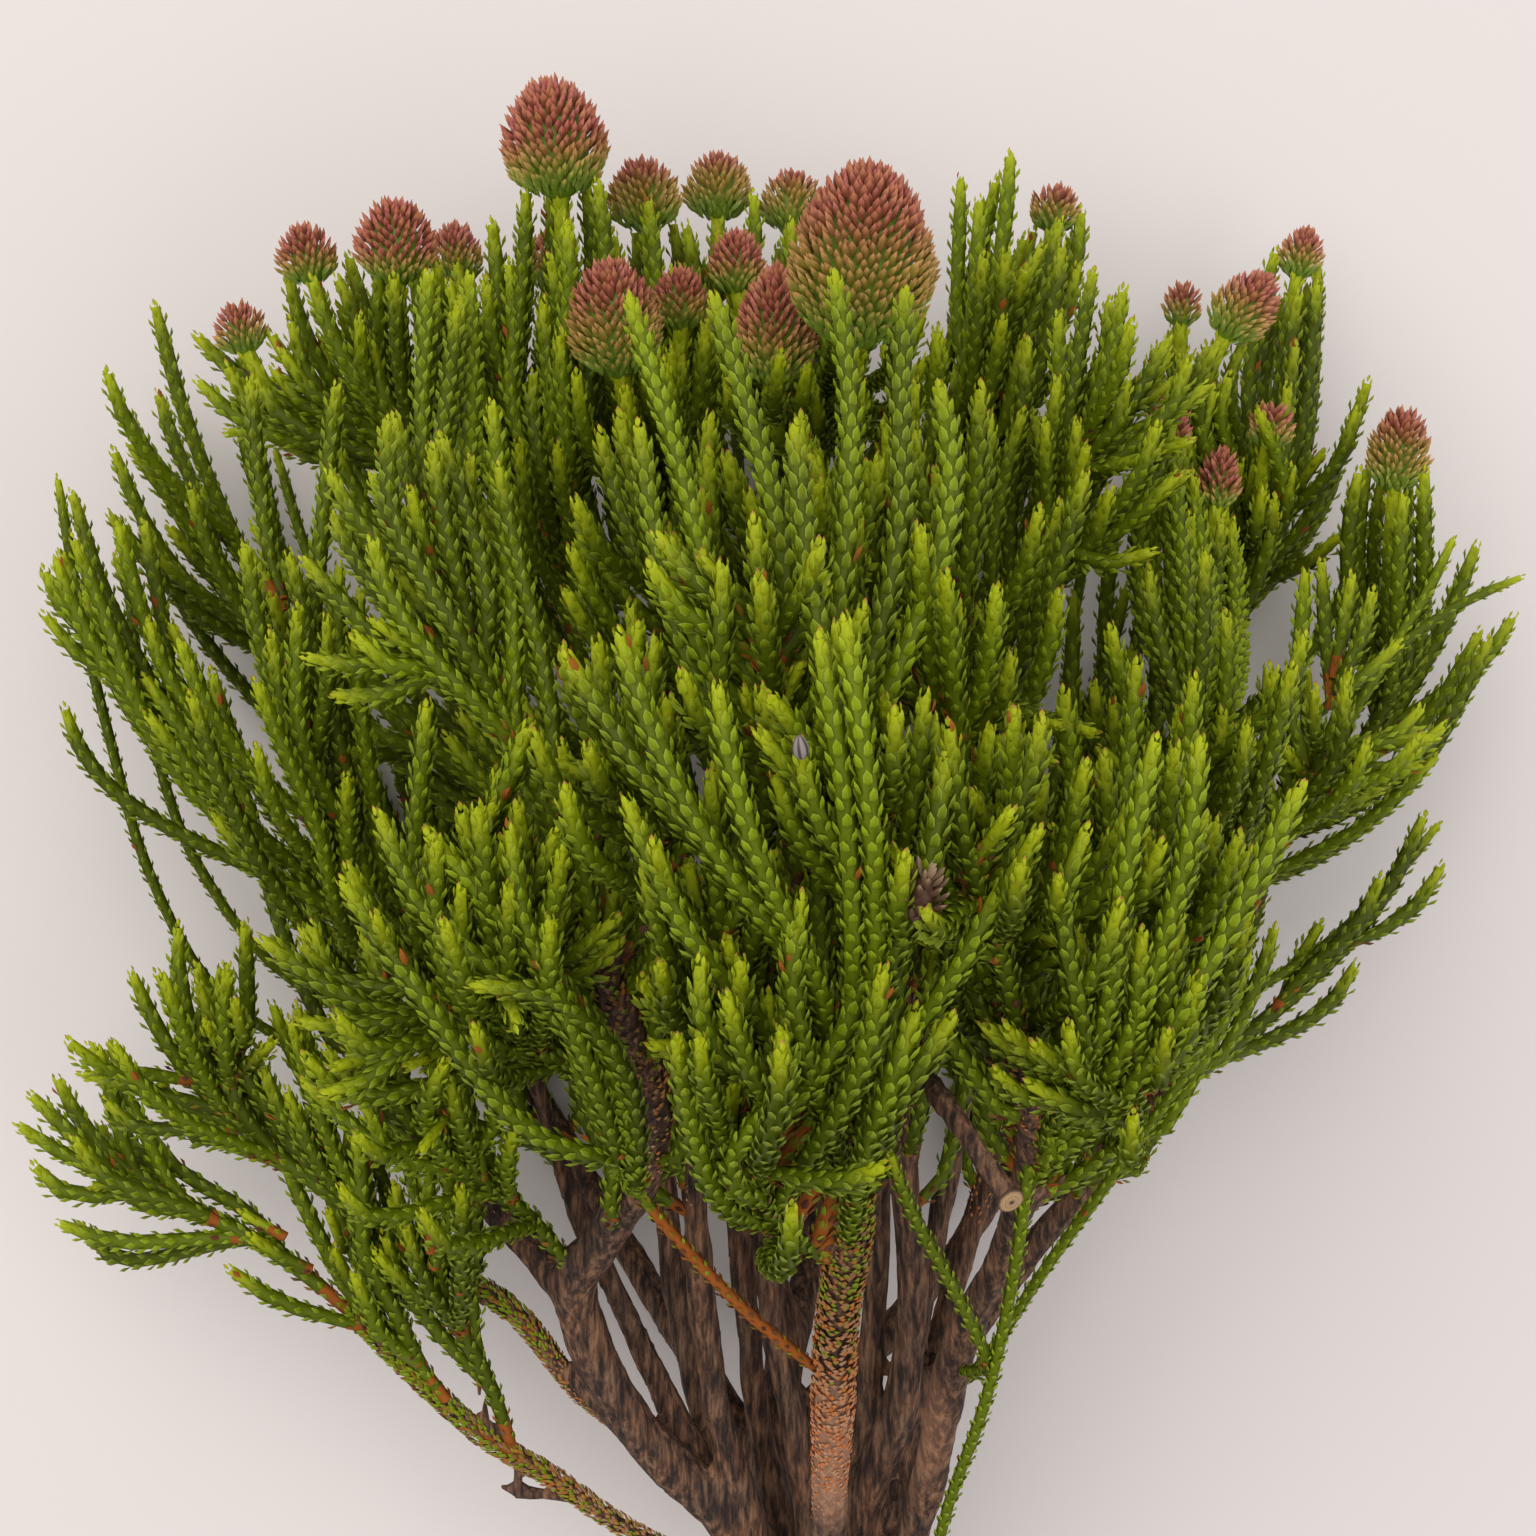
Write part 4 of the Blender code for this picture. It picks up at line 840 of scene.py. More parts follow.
def tuck_in(fillers, settled, limbs):
    """Push the extra shoots into the room between the others, and keep those that find some."""
    home = np.array([filler["path"] for filler in fillers])
    line = home.copy()
    steps = np.linalg.norm(np.diff(home, axis=1), axis=2)
    samples = 2 * POINTS - 1
    from_foot = np.tile(np.arange(samples), len(home)) * np.repeat(steps.mean(axis=1), samples) / 2
    far_out = from_foot > CROTCH / 2
    owner = np.repeat(np.arange(len(home)), samples)
    still = with_middles(np.array([strand["path"] for strand in settled]))
    wood, wood_radius = wood_balls(limbs)
    ball, ball_radius, _ = head_balls()
    solid, solid_clear = np.vstack((wood, ball)), np.concatenate((wood_radius, ball_radius)) + 1.6
    for turn in range(TUCK_TURNS):
        spots = with_middles(line)
        if turn % 6 == 0:
            first, second = near_in_layers(spots, spots, TUCK_CLEAR + TUCK_LOOK)
            keep = (first < second) & (owner[first] != owner[second]) & far_out[first] & far_out[second]
            pairs = first[keep], second[keep], np.full(keep.sum(), TUCK_CLEAR)
            mover, hinder = near_in_layers(spots, still, TUCK_CLEAR + TUCK_LOOK)
            blocked, block = near_in_layers(spots, solid, solid_clear.max() + TUCK_LOOK)
            keep, kept = far_out[mover], far_out[blocked]
            stops = (np.concatenate((mover[keep], blocked[kept])),
                     np.vstack((still[hinder[keep]], solid[block[kept]])),
                     np.concatenate((np.full(keep.sum(), TUCK_CLEAR), solid_clear[block[kept]])))
        push = shoved(spots, pairs, stops)
        line += push[:, 0::2] * PUSH
        line[:, :-1] += push[:, 1::2] * SPAN_PUSH
        line[:, 1:] += push[:, 1::2] * SPAN_PUSH
        line[:, 1:-1] += ((line[:, :-2] + line[:, 2:]) / 2 - line[:, 1:-1]) * LIMP
        line[:, :2] = home[:, :2]
        for step in range(2, POINTS):
            span = line[:, step] - line[:, step - 1]
            span *= (steps[:, step - 1] / np.linalg.norm(span, axis=1))[:, None]
            line[:, step] = line[:, step - 1] + span
        line[..., 2] = np.maximum(line[..., 2], FLOOR + LIE_HEIGHT)
    spots = with_middles(line)
    mover, hinder = near_in_layers(spots, still, TUCK_LEAST)
    blocked, block = near_in_layers(spots, solid, solid_clear.max())
    inside = np.linalg.norm(spots[blocked] - solid[block], axis=1) < solid_clear[block] - 1.0
    squeezed = set(owner[mover[far_out[mover]]]) | set(owner[blocked[inside & far_out[blocked]]])
    return [dict(filler, path=path) for number, (filler, path) in enumerate(zip(fillers, line))
            if number not in squeezed]


def lies_flat(path):
    """Whether a shoot runs more along the bush than up towards the eye."""
    steps = np.diff(path, axis=0)
    return np.linalg.norm(steps[:, :2].sum(axis=0)) > FLATNESS * np.linalg.norm(steps, axis=1).sum()


def rooted(path, carrier):
    """The line of a long shoot with its foot on the middle of what carries it, a little further down."""
    gaps = np.linalg.norm(carrier - path[0], axis=1)
    walked = walked_along(carrier)
    foot = carrier[np.searchsorted(walked, max(walked[gaps.argmin()] - 1.2 * gaps.min(), 0))]
    return path if gaps.min() < 1.5 else np.vstack((foot, path))


carriers = {strand["spray"]: smooth(strand["path"], 6) for strand in strands if strand["parent"] < 0}
carriers.update({name: smooth(path, 8)[:, :3] for name, path in limbs.items()})
wished = grow_fillers(strands, limbs) + grow_on_limbs(limbs)
extra = tuck_in(wished, strands, limbs)
extra = [shoot for shoot in extra if lies_flat(shoot["path"])]
print("shoots in between:", len(extra), "of", len(wished))
extra += grow_companions(strands)
for name, dry, places in ARCS:
    extra.append(dict(spray=name + "_shoots" * (name in limbs), head=None, parent=0, dry_length=dry,
            slim=LONE_SLIM if name in limbs else 1.0,
            path=rooted(np.array([place(*spot) for spot in places]), carriers[name])))

# %% [markdown]
# Each line now becomes a row of points that carry what the leaves need to know. The girth swells from the
# foot and closes at the growing tip. Fresh is 1 at that tip, where the leaves are young and yellow-green.
# Dry is the share of leaves that have died, most of them near the feet. Tone makes one shoot a little
# darker than the next. They are stored as attributes, and both the Geometry Nodes tree and the material
# read them.

# %% What the lines carry
LEAF_SPACING = 0.36          # from one leaf to the next along a shoot
BACK_SPACING = 0.48          # the same on shoots that are lower than BACK
BACK = -18.0
TRUNK_DRY, SHOOT_DRY = 11.0, 5.0   # how far up from the foot leaves have died
STRAY_DEAD = 0.006           # share of dead leaves further up
TONE_SEED = 5
NEAR_SPRAYS = {row[0] for row in SPRAYS if row[3][2] > 20}
stub_foot = {row[0]: spray_stub(limbs, row[1], row[2], place(*row[3]))[0] for row in SPRAYS}
tone_draw = np.random.default_rng(TONE_SEED)


def leaf_row(strand):
    """Points of one shoot in metres, with the attributes of its leaves."""
    trunk = strand["parent"] < 0
    path = np.vstack((stub_foot[strand["spray"]], strand["path"])) if trunk else strand["path"]
    places = smooth(path, 5)
    walked = walked_along(places)
    to_tip = walked[-1] - walked
    stalk = strand["head"] is not None
    size = tone_draw.uniform(0.86, 0.98) + 0.06 * (strand["spray"] in NEAR_SPRAYS)
    closing = np.ones(len(places)) if stalk else 0.60 + 0.40 * np.clip(to_tip / 4.5, 0, 1) ** 0.7
    opening = (0.72 + 0.28 * np.clip(walked / 9.0, 0, 1)) * strand.get("slim", 1.0)
    age = tone_draw.uniform(0.0, 1.0)
    dry_length = strand.get("dry_length", TRUNK_DRY if trunk else SHOOT_DRY)
    deadness = 0.35 + 0.5 * age + 0.55 * (dry_length > TRUNK_DRY)
    spacing = LEAF_SPACING if places[:, 2].mean() > BACK else BACK_SPACING
    return dict(
        places=in_frame(places),
        girth=size * closing * opening,
        fresh=np.clip(1 - to_tip / (12.0 if stalk else 5.0), 0, 1) ** 1.3,
        dry=np.clip(1.05 - walked / dry_length, 0, 1) * deadness + STRAY_DEAD,
        tone=np.full(len(places), tone_draw.uniform(0, 1)),
        bleached=np.zeros(len(places)),
        offset=np.zeros(len(places)),
        loose=np.zeros(len(places)),
        closing=np.zeros(len(places)) if stalk else np.clip(1 - to_tip / 3.0, 0, 1),
        spacing=np.full(len(places), spacing * MM),
    )


def line_object(name, rows):
    """Mesh of edges only, one chain for each row, with the rows' attributes on its points."""
    chains, start = [], 0
    for row in rows:
        count = len(row["places"])
        chains += [(start + number, start + number + 1) for number in range(count - 1)]
        start += count
    mesh = bpy.data.meshes.new(name)
    mesh.from_pydata(np.vstack([row["places"] for row in rows]).tolist(), chains, [])
    for label in rows[0]:
        if label != "places":
            values = np.concatenate([row[label] for row in rows]).astype(np.float32)
            mesh.attributes.new(label, "FLOAT", "POINT").data.foreach_set("value", values)
    return new_object(name, mesh)


# Limbs that old leaves still cover: height where they begin, and where the bleached ones give way
OLD_LEAVES = {"front": (4, 17), "low_left": (-4, -12), "low_side": (18, 4), "left_outer": (44, 50),
        "left": (48, 50), "back_left": (50, 50), "middle": (50, 50), "centre": (50, 50),
        "right_front": (50, 50), "right": (46, 50), "back_middle": (50, 50), "inner_left": (44, 44),
        "inner_right": (40, 40), "inner_middle": (48, 48)}
BARE_LIMBS = ("front", "low_left", "low_side")    # those that show below the bush
OLD_SPACING = (0.52, 1.0)    # from one old leaf to the next on those and on the others


def old_leaf_row(path, begin, bleached_to, shown):
    """Points along a limb that old leaves still cover, with the attributes of the leaves."""
    dense = smooth(path, 8)
    seen = SIGHT_Y + (dense[:, 1] - SIGHT_Y) / (1 - dense[:, 2] / SIGHT)
    dense, seen = dense[seen >= begin], seen[seen >= begin]
    radius = dense[:, 3]
    count = np.ones(len(dense))
    return dict(
        places=in_frame(dense[:, :3]),
        girth=(0.85 if path[:, 3].max() > 2.6 else 0.66) * np.clip(0.45 + (seen - begin) / 30, 0.45, 1),
        fresh=count * 0.0,
        dry=np.clip(1.15 - (seen - bleached_to) / 42, 0.25, 1.1),
        tone=count * 0.5,
        bleached=np.clip(1 - (seen - bleached_to) / 34, 0, 1),
        offset=(radius - 0.95) * MM,
        loose=count,
        closing=count * 0.0,
        spacing=OLD_SPACING[0 if shown else 1] ** 2 * 2.0 / (2 * math.pi * (radius + 0.4)) * MM,
    )


rows = {}
for name, (begin, bleached_to) in OLD_LEAVES.items():
    rows[name + "_shoots"] = [old_leaf_row(limbs[name], begin, bleached_to, name in BARE_LIMBS)]
for strand in strands + extra:
    rows.setdefault(strand["spray"], []).append(leaf_row(strand))
lines = {name: line_object(name.removesuffix("_shoots") + "_shoots", found) for name, found in rows.items()}
print("pieces:", len(lines))

# %% [markdown]
# One scale leaf is 2 mm long and 1 mm wide: a plump keeled scale that starts on the shoot's core, bulges a
# little and bends its point back in. There are tens of thousands, so it is kept to eight points: one at the
# hidden foot, two stations of left edge, keel and right edge, and the point. The inner side closes it, so
# that it is a solid and not a sheet. Shoots at the back get a plainer leaf with one station. Two attributes
# tell the material where on the leaf it is.

# %% One scale leaf
LEAF_FOOT = (0.0, 0.95)      # height along the shoot, distance from its middle
LEAF_POINT = (2.15, 1.74)
NEAR_STATIONS = (            # height, half width, distance of the edges, distance of the keel, reach
    (0.60, 0.52, 1.22, 1.48, 0.35),
    (1.45, 0.50, 1.46, 1.80, 0.75),
)
FAR_STATIONS = ((1.25, 0.56, 1.34, 1.80, 0.65),)


def leaf_object(name, foot, stations, point):
    """Closed keeled scale with its outer side towards +X and its point towards +Z."""
    mesh = bmesh.new()
    reach = mesh.verts.layers.float.new("reach")
    rim = mesh.verts.layers.float.new("rim")

    def spot(out, across_leaf, height, reached, rimmed):
        made = mesh.verts.new(Vector((out, across_leaf, height)) * MM)
        made[reach] = reached
        made[rim] = rimmed
        return made

    start = spot(foot[1], 0, foot[0], 0, 0)
    rows = [(spot(edge, -half, height, reached, 1), spot(keel, 0, height, reached, 0),
             spot(edge, half, height, reached, 1)) for height, half, edge, keel, reached in stations]
    end = spot(point[1], 0, point[0], 1, 1)
    for left, right in ((0, 1), (1, 2)):
        mesh.faces.new((start, rows[0][left], rows[0][right]))
        for low, high in zip(rows, rows[1:]):
            mesh.faces.new((low[left], high[left], high[right], low[right]))
        mesh.faces.new((rows[-1][left], end, rows[-1][right]))
    mesh.faces.new((start, *[row[2] for row in rows], end, *[row[0] for row in reversed(rows)]))
    bmesh.ops.recalc_face_normals(mesh, faces=mesh.faces)
    bmesh.ops.triangulate(mesh, faces=mesh.faces)
    for face in mesh.faces:
        face.smooth = True
    for edge in mesh.edges:
        edge.smooth = edge.calc_face_angle(0) < math.radians(60)
    data = bpy.data.meshes.new(name)
    mesh.to_mesh(data)
    mesh.free()
    thing = new_object(name, data)
    thing.hide_render = True
    return thing


near_leaf = leaf_object("near_leaf", LEAF_FOOT, NEAR_STATIONS, LEAF_POINT)
far_leaf = leaf_object("far_leaf", LEAF_FOOT, FAR_STATIONS, LEAF_POINT)
print("faces of one leaf:", len(near_leaf.data.polygons), "near,", len(far_leaf.data.polygons), "far")

# %% [markdown]
# A scale leaf is living tissue with a waxy skin: a soft gloss on the keel and a pale papery rim. Its foot,
# where the next scales overlap it, and the core under the leaves get painted shade, darker towards a deep
# olive. Young leaves at a tip are yellow-green with a pink-brown point. Dead ones stay on for years, first
# orange, then brown. A random number that each leaf carries is compared with the dryness at its place, and
# decides whether it is one of the dead.

# %% Leaf material
NUMBER_NODE = "ShaderNodeAttribute"


def scale_leaf_skin():
    """Waxy green scale leaf that dries to orange and brown."""
    skin, tree, shader = new_skin("waxy_scale_leaf")
    tone, fresh, dry, chance, reach, rim, bleached = [
        add_node(tree, NUMBER_NODE, attribute_name=name).outputs["Fac"]
        for name in ("tone", "fresh", "dry", "chance", "reach", "rim", "bleached")]
    where = add_node(tree, "ShaderNodeTexCoord").outputs["Object"]
    patches = add_node(tree, "ShaderNodeTexNoise", {"Vector": where, "Scale": 90.0, "Detail": 2.0})
    mottle = add_node(tree, "ShaderNodeMath", {0: tone, 1: patches.outputs["Fac"]}, operation="ADD")
    shade = add_node(tree, "ShaderNodeMapRange", {
        "Value": mottle.outputs[0], "From Min": 0.35, "From Max": 1.6})
    body = add_node(tree, "ShaderNodeMix", {"Factor": shade.outputs[0], 6: linear("#4D5904"),
            7: linear("#7F9209")}, data_type="RGBA")
    # Painted shade: the foot of every leaf, where the next scales cover it, darkens towards #303A03.
    depth = add_node(tree, "ShaderNodeMapRange", {"Value": reach, "From Max": 0.4, "To Min": 0.5,
            "To Max": 0.0})
    lift = add_node(tree, "ShaderNodeMapRange", {"Value": reach, "From Min": 0.4, "To Max": 0.35})
    edge = add_node(tree, "ShaderNodeMapRange", {"Value": rim, "From Min": 0.55, "To Max": 0.3})
    young = add_node(tree, "ShaderNodeMath", {0: fresh, 1: 0.75}, operation="MULTIPLY")
    top = add_node(tree, "ShaderNodeMath", {0: fresh, 1: reach}, operation="MULTIPLY")
    blush = add_node(tree, "ShaderNodeMapRange", {
        "Value": top.outputs[0], "From Min": 0.66, "From Max": 0.88, "To Max": 0.85})
    living = body.outputs[2]
    # First the painted shade at the leaf feet and on the core (depth, #303A03), then the leaf's own lighter
    # point, pale rim, young green and pink-brown blush.
    for cover, colour in ((depth, "#303A03"), (lift, "#9CB010"), (edge, "#B0BE5A"), (young, "#B6C018"),
            (blush, "#B26A45")):
        living = add_node(tree, "ShaderNodeMix", {"Factor": cover.outputs[0], 6: living, 7: linear(colour)},
                data_type="RGBA").outputs[2]
    dead = add_node(tree, "ShaderNodeMath", {0: dry, 1: chance}, operation="GREATER_THAN")
    ripe = add_node(tree, "ShaderNodeMath", {0: chance, 1: 7.0}, operation="MULTIPLY")
    turn = add_node(tree, "ShaderNodeMath", {0: ripe.outputs[0]}, operation="FRACT")
    rust = add_node(tree, "ShaderNodeValToRGB", {"Fac": turn.outputs[0]})
    fill_ramp(rust, ((0.0, "#96501E"), (0.25, "#7E7A1A"), (0.55, "#6B4226"), (0.8, "#4C2E22"),
            (1.0, "#7A5A45")))
    straw = add_node(tree, "ShaderNodeMix", {"Factor": turn.outputs[0], 6: linear("#CC7234"),
            7: linear("#C49E7C")}, data_type="RGBA")
    worn = add_node(tree, "ShaderNodeMix", {"Factor": bleached, 6: rust.outputs["Color"],
            7: straw.outputs[2]}, data_type="RGBA")
    final = add_node(tree, "ShaderNodeMix", {"Factor": dead.outputs[0], 6: living,
            7: worn.outputs[2]}, data_type="RGBA")
    grain = add_node(tree, "ShaderNodeTexNoise", {"Vector": where, "Scale": 2500.0, "Detail": 1.0})
    bump = add_node(tree, "ShaderNodeBump", {"Height": grain.outputs["Fac"], "Strength": 0.25,
            "Distance": 0.1 * MM})
    gloss = add_node(tree, "ShaderNodeMapRange", {"Value": dead.outputs[0], "To Min": 0.5, "To Max": 0.8})
    tree.links.new(final.outputs[2], shader.inputs["Base Color"])
    tree.links.new(gloss.outputs[0], shader.inputs["Roughness"])
    tree.links.new(bump.outputs["Normal"], shader.inputs["Normal"])
    shader.inputs["IOR"].default_value = 1.3
    shader.inputs["Specular IOR Level"].default_value = 0.35
    return skin


leaf_skin = scale_leaf_skin()
print("leaf material:", len(leaf_skin.node_tree.nodes), "nodes")

# %% [markdown]
# The leaves go on with Geometry Nodes, because they follow a rule: one every third of a millimetre, each
# turned by the golden angle from the last. The tree reads the chains as curves, spaces points along them,
# gives every point a rotation whose Z runs along the shoot and whose X turns outwards, and puts a leaf
# there. A thin core under the leaves closes the gaps between them.

# %% Tree that wraps shoots in leaves
def new_tree(name, sockets):
    """Empty Geometry Nodes tree with named inputs, and the sockets that they give."""
    tree = bpy.data.node_groups.new(name, "GeometryNodeTree")
    for label, kind in sockets.items():
        tree.interface.new_socket(label, in_out="INPUT", socket_type="NodeSocket" + kind)
    tree.interface.new_socket("Geometry", in_out="OUTPUT", socket_type="NodeSocketGeometry")
    return tree, tree.nodes.new("NodeGroupInput").outputs


def end_tree(tree, parts, finish):
    """Join the parts, make them real, give them their material and end the tree."""
    joined = tree.nodes.new("GeometryNodeJoinGeometry")
    for part in parts:
        tree.links.new(part, joined.inputs["Geometry"])
    real = add_node(tree, "GeometryNodeRealizeInstances", {"Geometry": joined.outputs["Geometry"]})
    painted = add_node(tree, "GeometryNodeSetMaterial", {"Geometry": real.outputs["Geometry"],
            "Material": finish})
    add_node(tree, "NodeGroupOutput", {"Geometry": painted.outputs["Geometry"]})


CORE_CHANCE = 0.43           # the core turns brown where more of the leaves than this are dead
TIP_BEND = 0.5               # radians by which the last leaves of a shoot bend over its tip


def leafy_tree():
    """Scale leaves round every chain of the mesh, on a thin core."""
    tree, given = new_tree("leafy_shoots", {
        "Geometry": "Geometry", "Leaf": "Object", "Turn": "Float", "Core": "Float", "Tilt": "Float",
        "Seed": "Int", "Finish": "Material"})
    girth, offset, spacing, closing, loose = [
        add_node(tree, "GeometryNodeInputNamedAttribute", {"Name": name}, data_type="FLOAT").outputs["Attribute"]
        for name in ("girth", "offset", "spacing", "closing", "loose")]
    chains = add_node(tree, "GeometryNodeMeshToCurve", {"Mesh": given["Geometry"]})
    fine = add_node(tree, "GeometryNodeResampleCurve", {"Curve": chains.outputs["Curve"], "Length": spacing},
            mode="LENGTH")
    points = add_node(tree, "GeometryNodeCurveToPoints", {"Curve": fine.outputs["Curve"]}, mode="EVALUATED")
    facing = add_node(tree, "FunctionNodeAxesToRotation", {
        "Primary Axis": points.outputs["Tangent"], "Secondary Axis": points.outputs["Normal"]},
        primary_axis="Z", secondary_axis="X")
    index = add_node(tree, "GeometryNodeInputIndex")
    chance_turn = add_node(tree, "FunctionNodeRandomValue", {2: -0.12, 3: 0.12, "Seed": given["Seed"]},
            data_type="FLOAT")
    looser = add_node(tree, "ShaderNodeMath", {0: loose, 1: 2.5, 2: 1.0}, operation="MULTIPLY_ADD")
    swerve = add_node(tree, "ShaderNodeMath", {0: chance_turn.outputs[1], 1: looser.outputs[0]},
            operation="MULTIPLY")
    angle = add_node(tree, "ShaderNodeMath", {0: index.outputs["Index"], 1: given["Turn"],
            2: swerve.outputs[0]}, operation="MULTIPLY_ADD")
    turned = add_node(tree, "FunctionNodeAxisAngleToRotation", {"Axis": (0, 0, 1),
            "Angle": angle.outputs[0]})
    around = add_node(tree, "FunctionNodeRotateRotation", {
        "Rotation": facing.outputs["Rotation"], "Rotate By": turned.outputs["Rotation"]},
        rotation_space="LOCAL")
    lean_seed = add_node(tree, "ShaderNodeMath", {0: given["Seed"], 1: 11}, operation="ADD")
    lean_draw = add_node(tree, "FunctionNodeRandomValue", {2: -0.5, 3: 1.0, "Seed": lean_seed.outputs[0]},
            data_type="FLOAT")
    inward = add_node(tree, "ShaderNodeMath", {0: closing, 1: -TIP_BEND}, operation="MULTIPLY")
    tilt = add_node(tree, "ShaderNodeMath", {0: loose, 1: 0.10, 2: given["Tilt"]}, operation="MULTIPLY_ADD")
    lean = add_node(tree, "ShaderNodeMath", {0: lean_draw.outputs[1], 1: tilt.outputs[0],
            2: inward.outputs[0]}, operation="MULTIPLY_ADD")
    tipped = add_node(tree, "FunctionNodeAxisAngleToRotation", {"Axis": (0, 1, 0), "Angle": lean.outputs[0]})
    posed = add_node(tree, "FunctionNodeRotateRotation", {
        "Rotation": around.outputs["Rotation"], "Rotate By": tipped.outputs["Rotation"]},
        rotation_space="LOCAL")
    aside = add_node(tree, "ShaderNodeCombineXYZ", {"X": offset})
    outward = add_node(tree, "FunctionNodeRotateVector", {"Vector": aside.outputs["Vector"],
            "Rotation": around.outputs["Rotation"]})
    moved = add_node(tree, "GeometryNodeSetPosition", {"Geometry": points.outputs["Points"],
            "Offset": outward.outputs["Vector"]})
    luck_seed = add_node(tree, "ShaderNodeMath", {0: given["Seed"], 1: 23}, operation="ADD")
    luck = add_node(tree, "FunctionNodeRandomValue", {2: 0.0, 3: 1.0, "Seed": luck_seed.outputs[0]},
            data_type="FLOAT")
    marked = add_node(tree, "GeometryNodeStoreNamedAttribute", {
        "Geometry": moved.outputs["Geometry"], "Name": "chance", "Value": luck.outputs[1]},
        data_type="FLOAT", domain="POINT")
    leaf = add_node(tree, "GeometryNodeObjectInfo", {"Object": given["Leaf"], "As Instance": True})
    growth = add_node(tree, "ShaderNodeMapRange", {"Value": luck.outputs[1], "To Min": 1.06, "To Max": 0.94})
    sized = add_node(tree, "ShaderNodeMath", {0: girth, 1: growth.outputs[0]}, operation="MULTIPLY")
    leaves = add_node(tree, "GeometryNodeInstanceOnPoints", {
        "Points": marked.outputs["Geometry"], "Instance": leaf.outputs["Geometry"],
        "Rotation": posed.outputs["Rotation"], "Scale": sized.outputs[0]})
    # The core carries no reach, so the leaf material paints it with the dark painted shade of a leaf's foot.
    ring = add_node(tree, "GeometryNodeCurvePrimitiveCircle", {"Resolution": 5, "Radius": given["Core"]})
    core = add_node(tree, "GeometryNodeResampleCurve", {"Curve": chains.outputs["Curve"], "Length": 5 * MM},
            mode="LENGTH")
    tube = add_node(tree, "GeometryNodeCurveToMesh", {
        "Curve": core.outputs["Curve"], "Profile Curve": ring.outputs["Curve"], "Scale": girth,
        "Fill Caps": True})
    living = add_node(tree, "GeometryNodeStoreNamedAttribute", {
        "Geometry": tube.outputs["Mesh"], "Name": "chance", "Value": CORE_CHANCE},
        data_type="FLOAT", domain="POINT")
    end_tree(tree, [leaves.outputs["Instances"], living.outputs["Geometry"]], given["Finish"])
    return tree


def apply_tree(thing, tree, values):
    """Give an object the tree, with the inputs set by their sockets' identifiers."""
    modifier = thing.modifiers.new(tree.name, "NODES")
    modifier.node_group = tree
    for socket in tree.interface.items_tree:
        if socket.name in values and socket.in_out == "INPUT":
            modifier[socket.identifier] = values[socket.name]
    thing.update_tag()


leafy = leafy_tree()
print("nodes in the leafy tree:", len(leafy.nodes))

# %% [markdown]
# Baking turns what the modifiers show into a plain mesh. Leaves of shoots that lie on the table are pressed
# flat against it, as on a real table. Each finished spray stands for its plain solid and moves with the
# part's one body.

# %% Leafy sprays
CORE_RADIUS = 1.25
LEAF_TILT = math.radians(4)  # how far a leaf's point stands off its shoot


def baked(thing):
    """Turn the object into the plain mesh that its modifiers show, pressed flat on the table."""
    depsgraph = bpy.context.evaluated_depsgraph_get()
    mesh = bpy.data.meshes.new_from_object(thing.evaluated_get(depsgraph), preserve_all_data_layers=True,
            depsgraph=depsgraph)
    thing.modifiers.clear()
    thing.data = mesh
    spots = np.empty(len(mesh.vertices) * 3, np.float32)
    mesh.vertices.foreach_get("co", spots)
    spots[2::3] = np.maximum(spots[2::3], 0.0)
    mesh.vertices.foreach_set("co", spots)
    mesh.update()
    return thing


def hand_over(piece, slot, *nodes):
    """Let a finished piece stand for its plain solids, and count its triangles."""
    if nodes:
        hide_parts(*nodes)
    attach(piece, "root")
    piece.data.calc_loop_triangles()
    return len(piece.data.loop_triangles)


for number, (name, thing) in enumerate(lines.items()):
    apply_tree(thing, leafy, {
        "Leaf": near_leaf if name in NEAR_SPRAYS else far_leaf, "Turn": GOLDEN_ANGLE,
        "Core": CORE_RADIUS * MM, "Tilt": LEAF_TILT, "Seed": number, "Finish": leaf_skin})
bpy.context.view_layer.update()
spray_triangles = [hand_over(baked(thing), "scale_leaves", *[name] * (name in frame["nodes"]))
        for name, thing in lines.items()]
print("triangles in the sprays:", sum(spray_triangles), "most in one:", max(spray_triangles))

# %% [markdown]
# A flower head is a dense ball of pointed bracts round the small flowers. The bracts stand in the same golden
# spiral as the leaves, wound over a ball: a height that rises evenly from foot to crown gives every bract the
# same area. They point outwards at the foot and more and more upwards above. A bract is a fuller scale with a
# bellied back, so it gets a shape of its own.

# %% Flower heads
BRACT_FOOT = (0.0, 0.0)
BRACT_STATIONS = (           # height, half width, distance of the edges, distance of the keel, reach
    (0.9, 0.46, 0.0, 0.44, 0.35),
    (1.8, 0.40, 0.05, 0.52, 0.72),
)
BRACT_POINT = (2.6, 0.22)
BRACT_SPREAD = 1.15          # area of the ball that one bract takes up, square mm
bract = leaf_object("flower_bract", BRACT_FOOT, BRACT_STATIONS, BRACT_POINT)


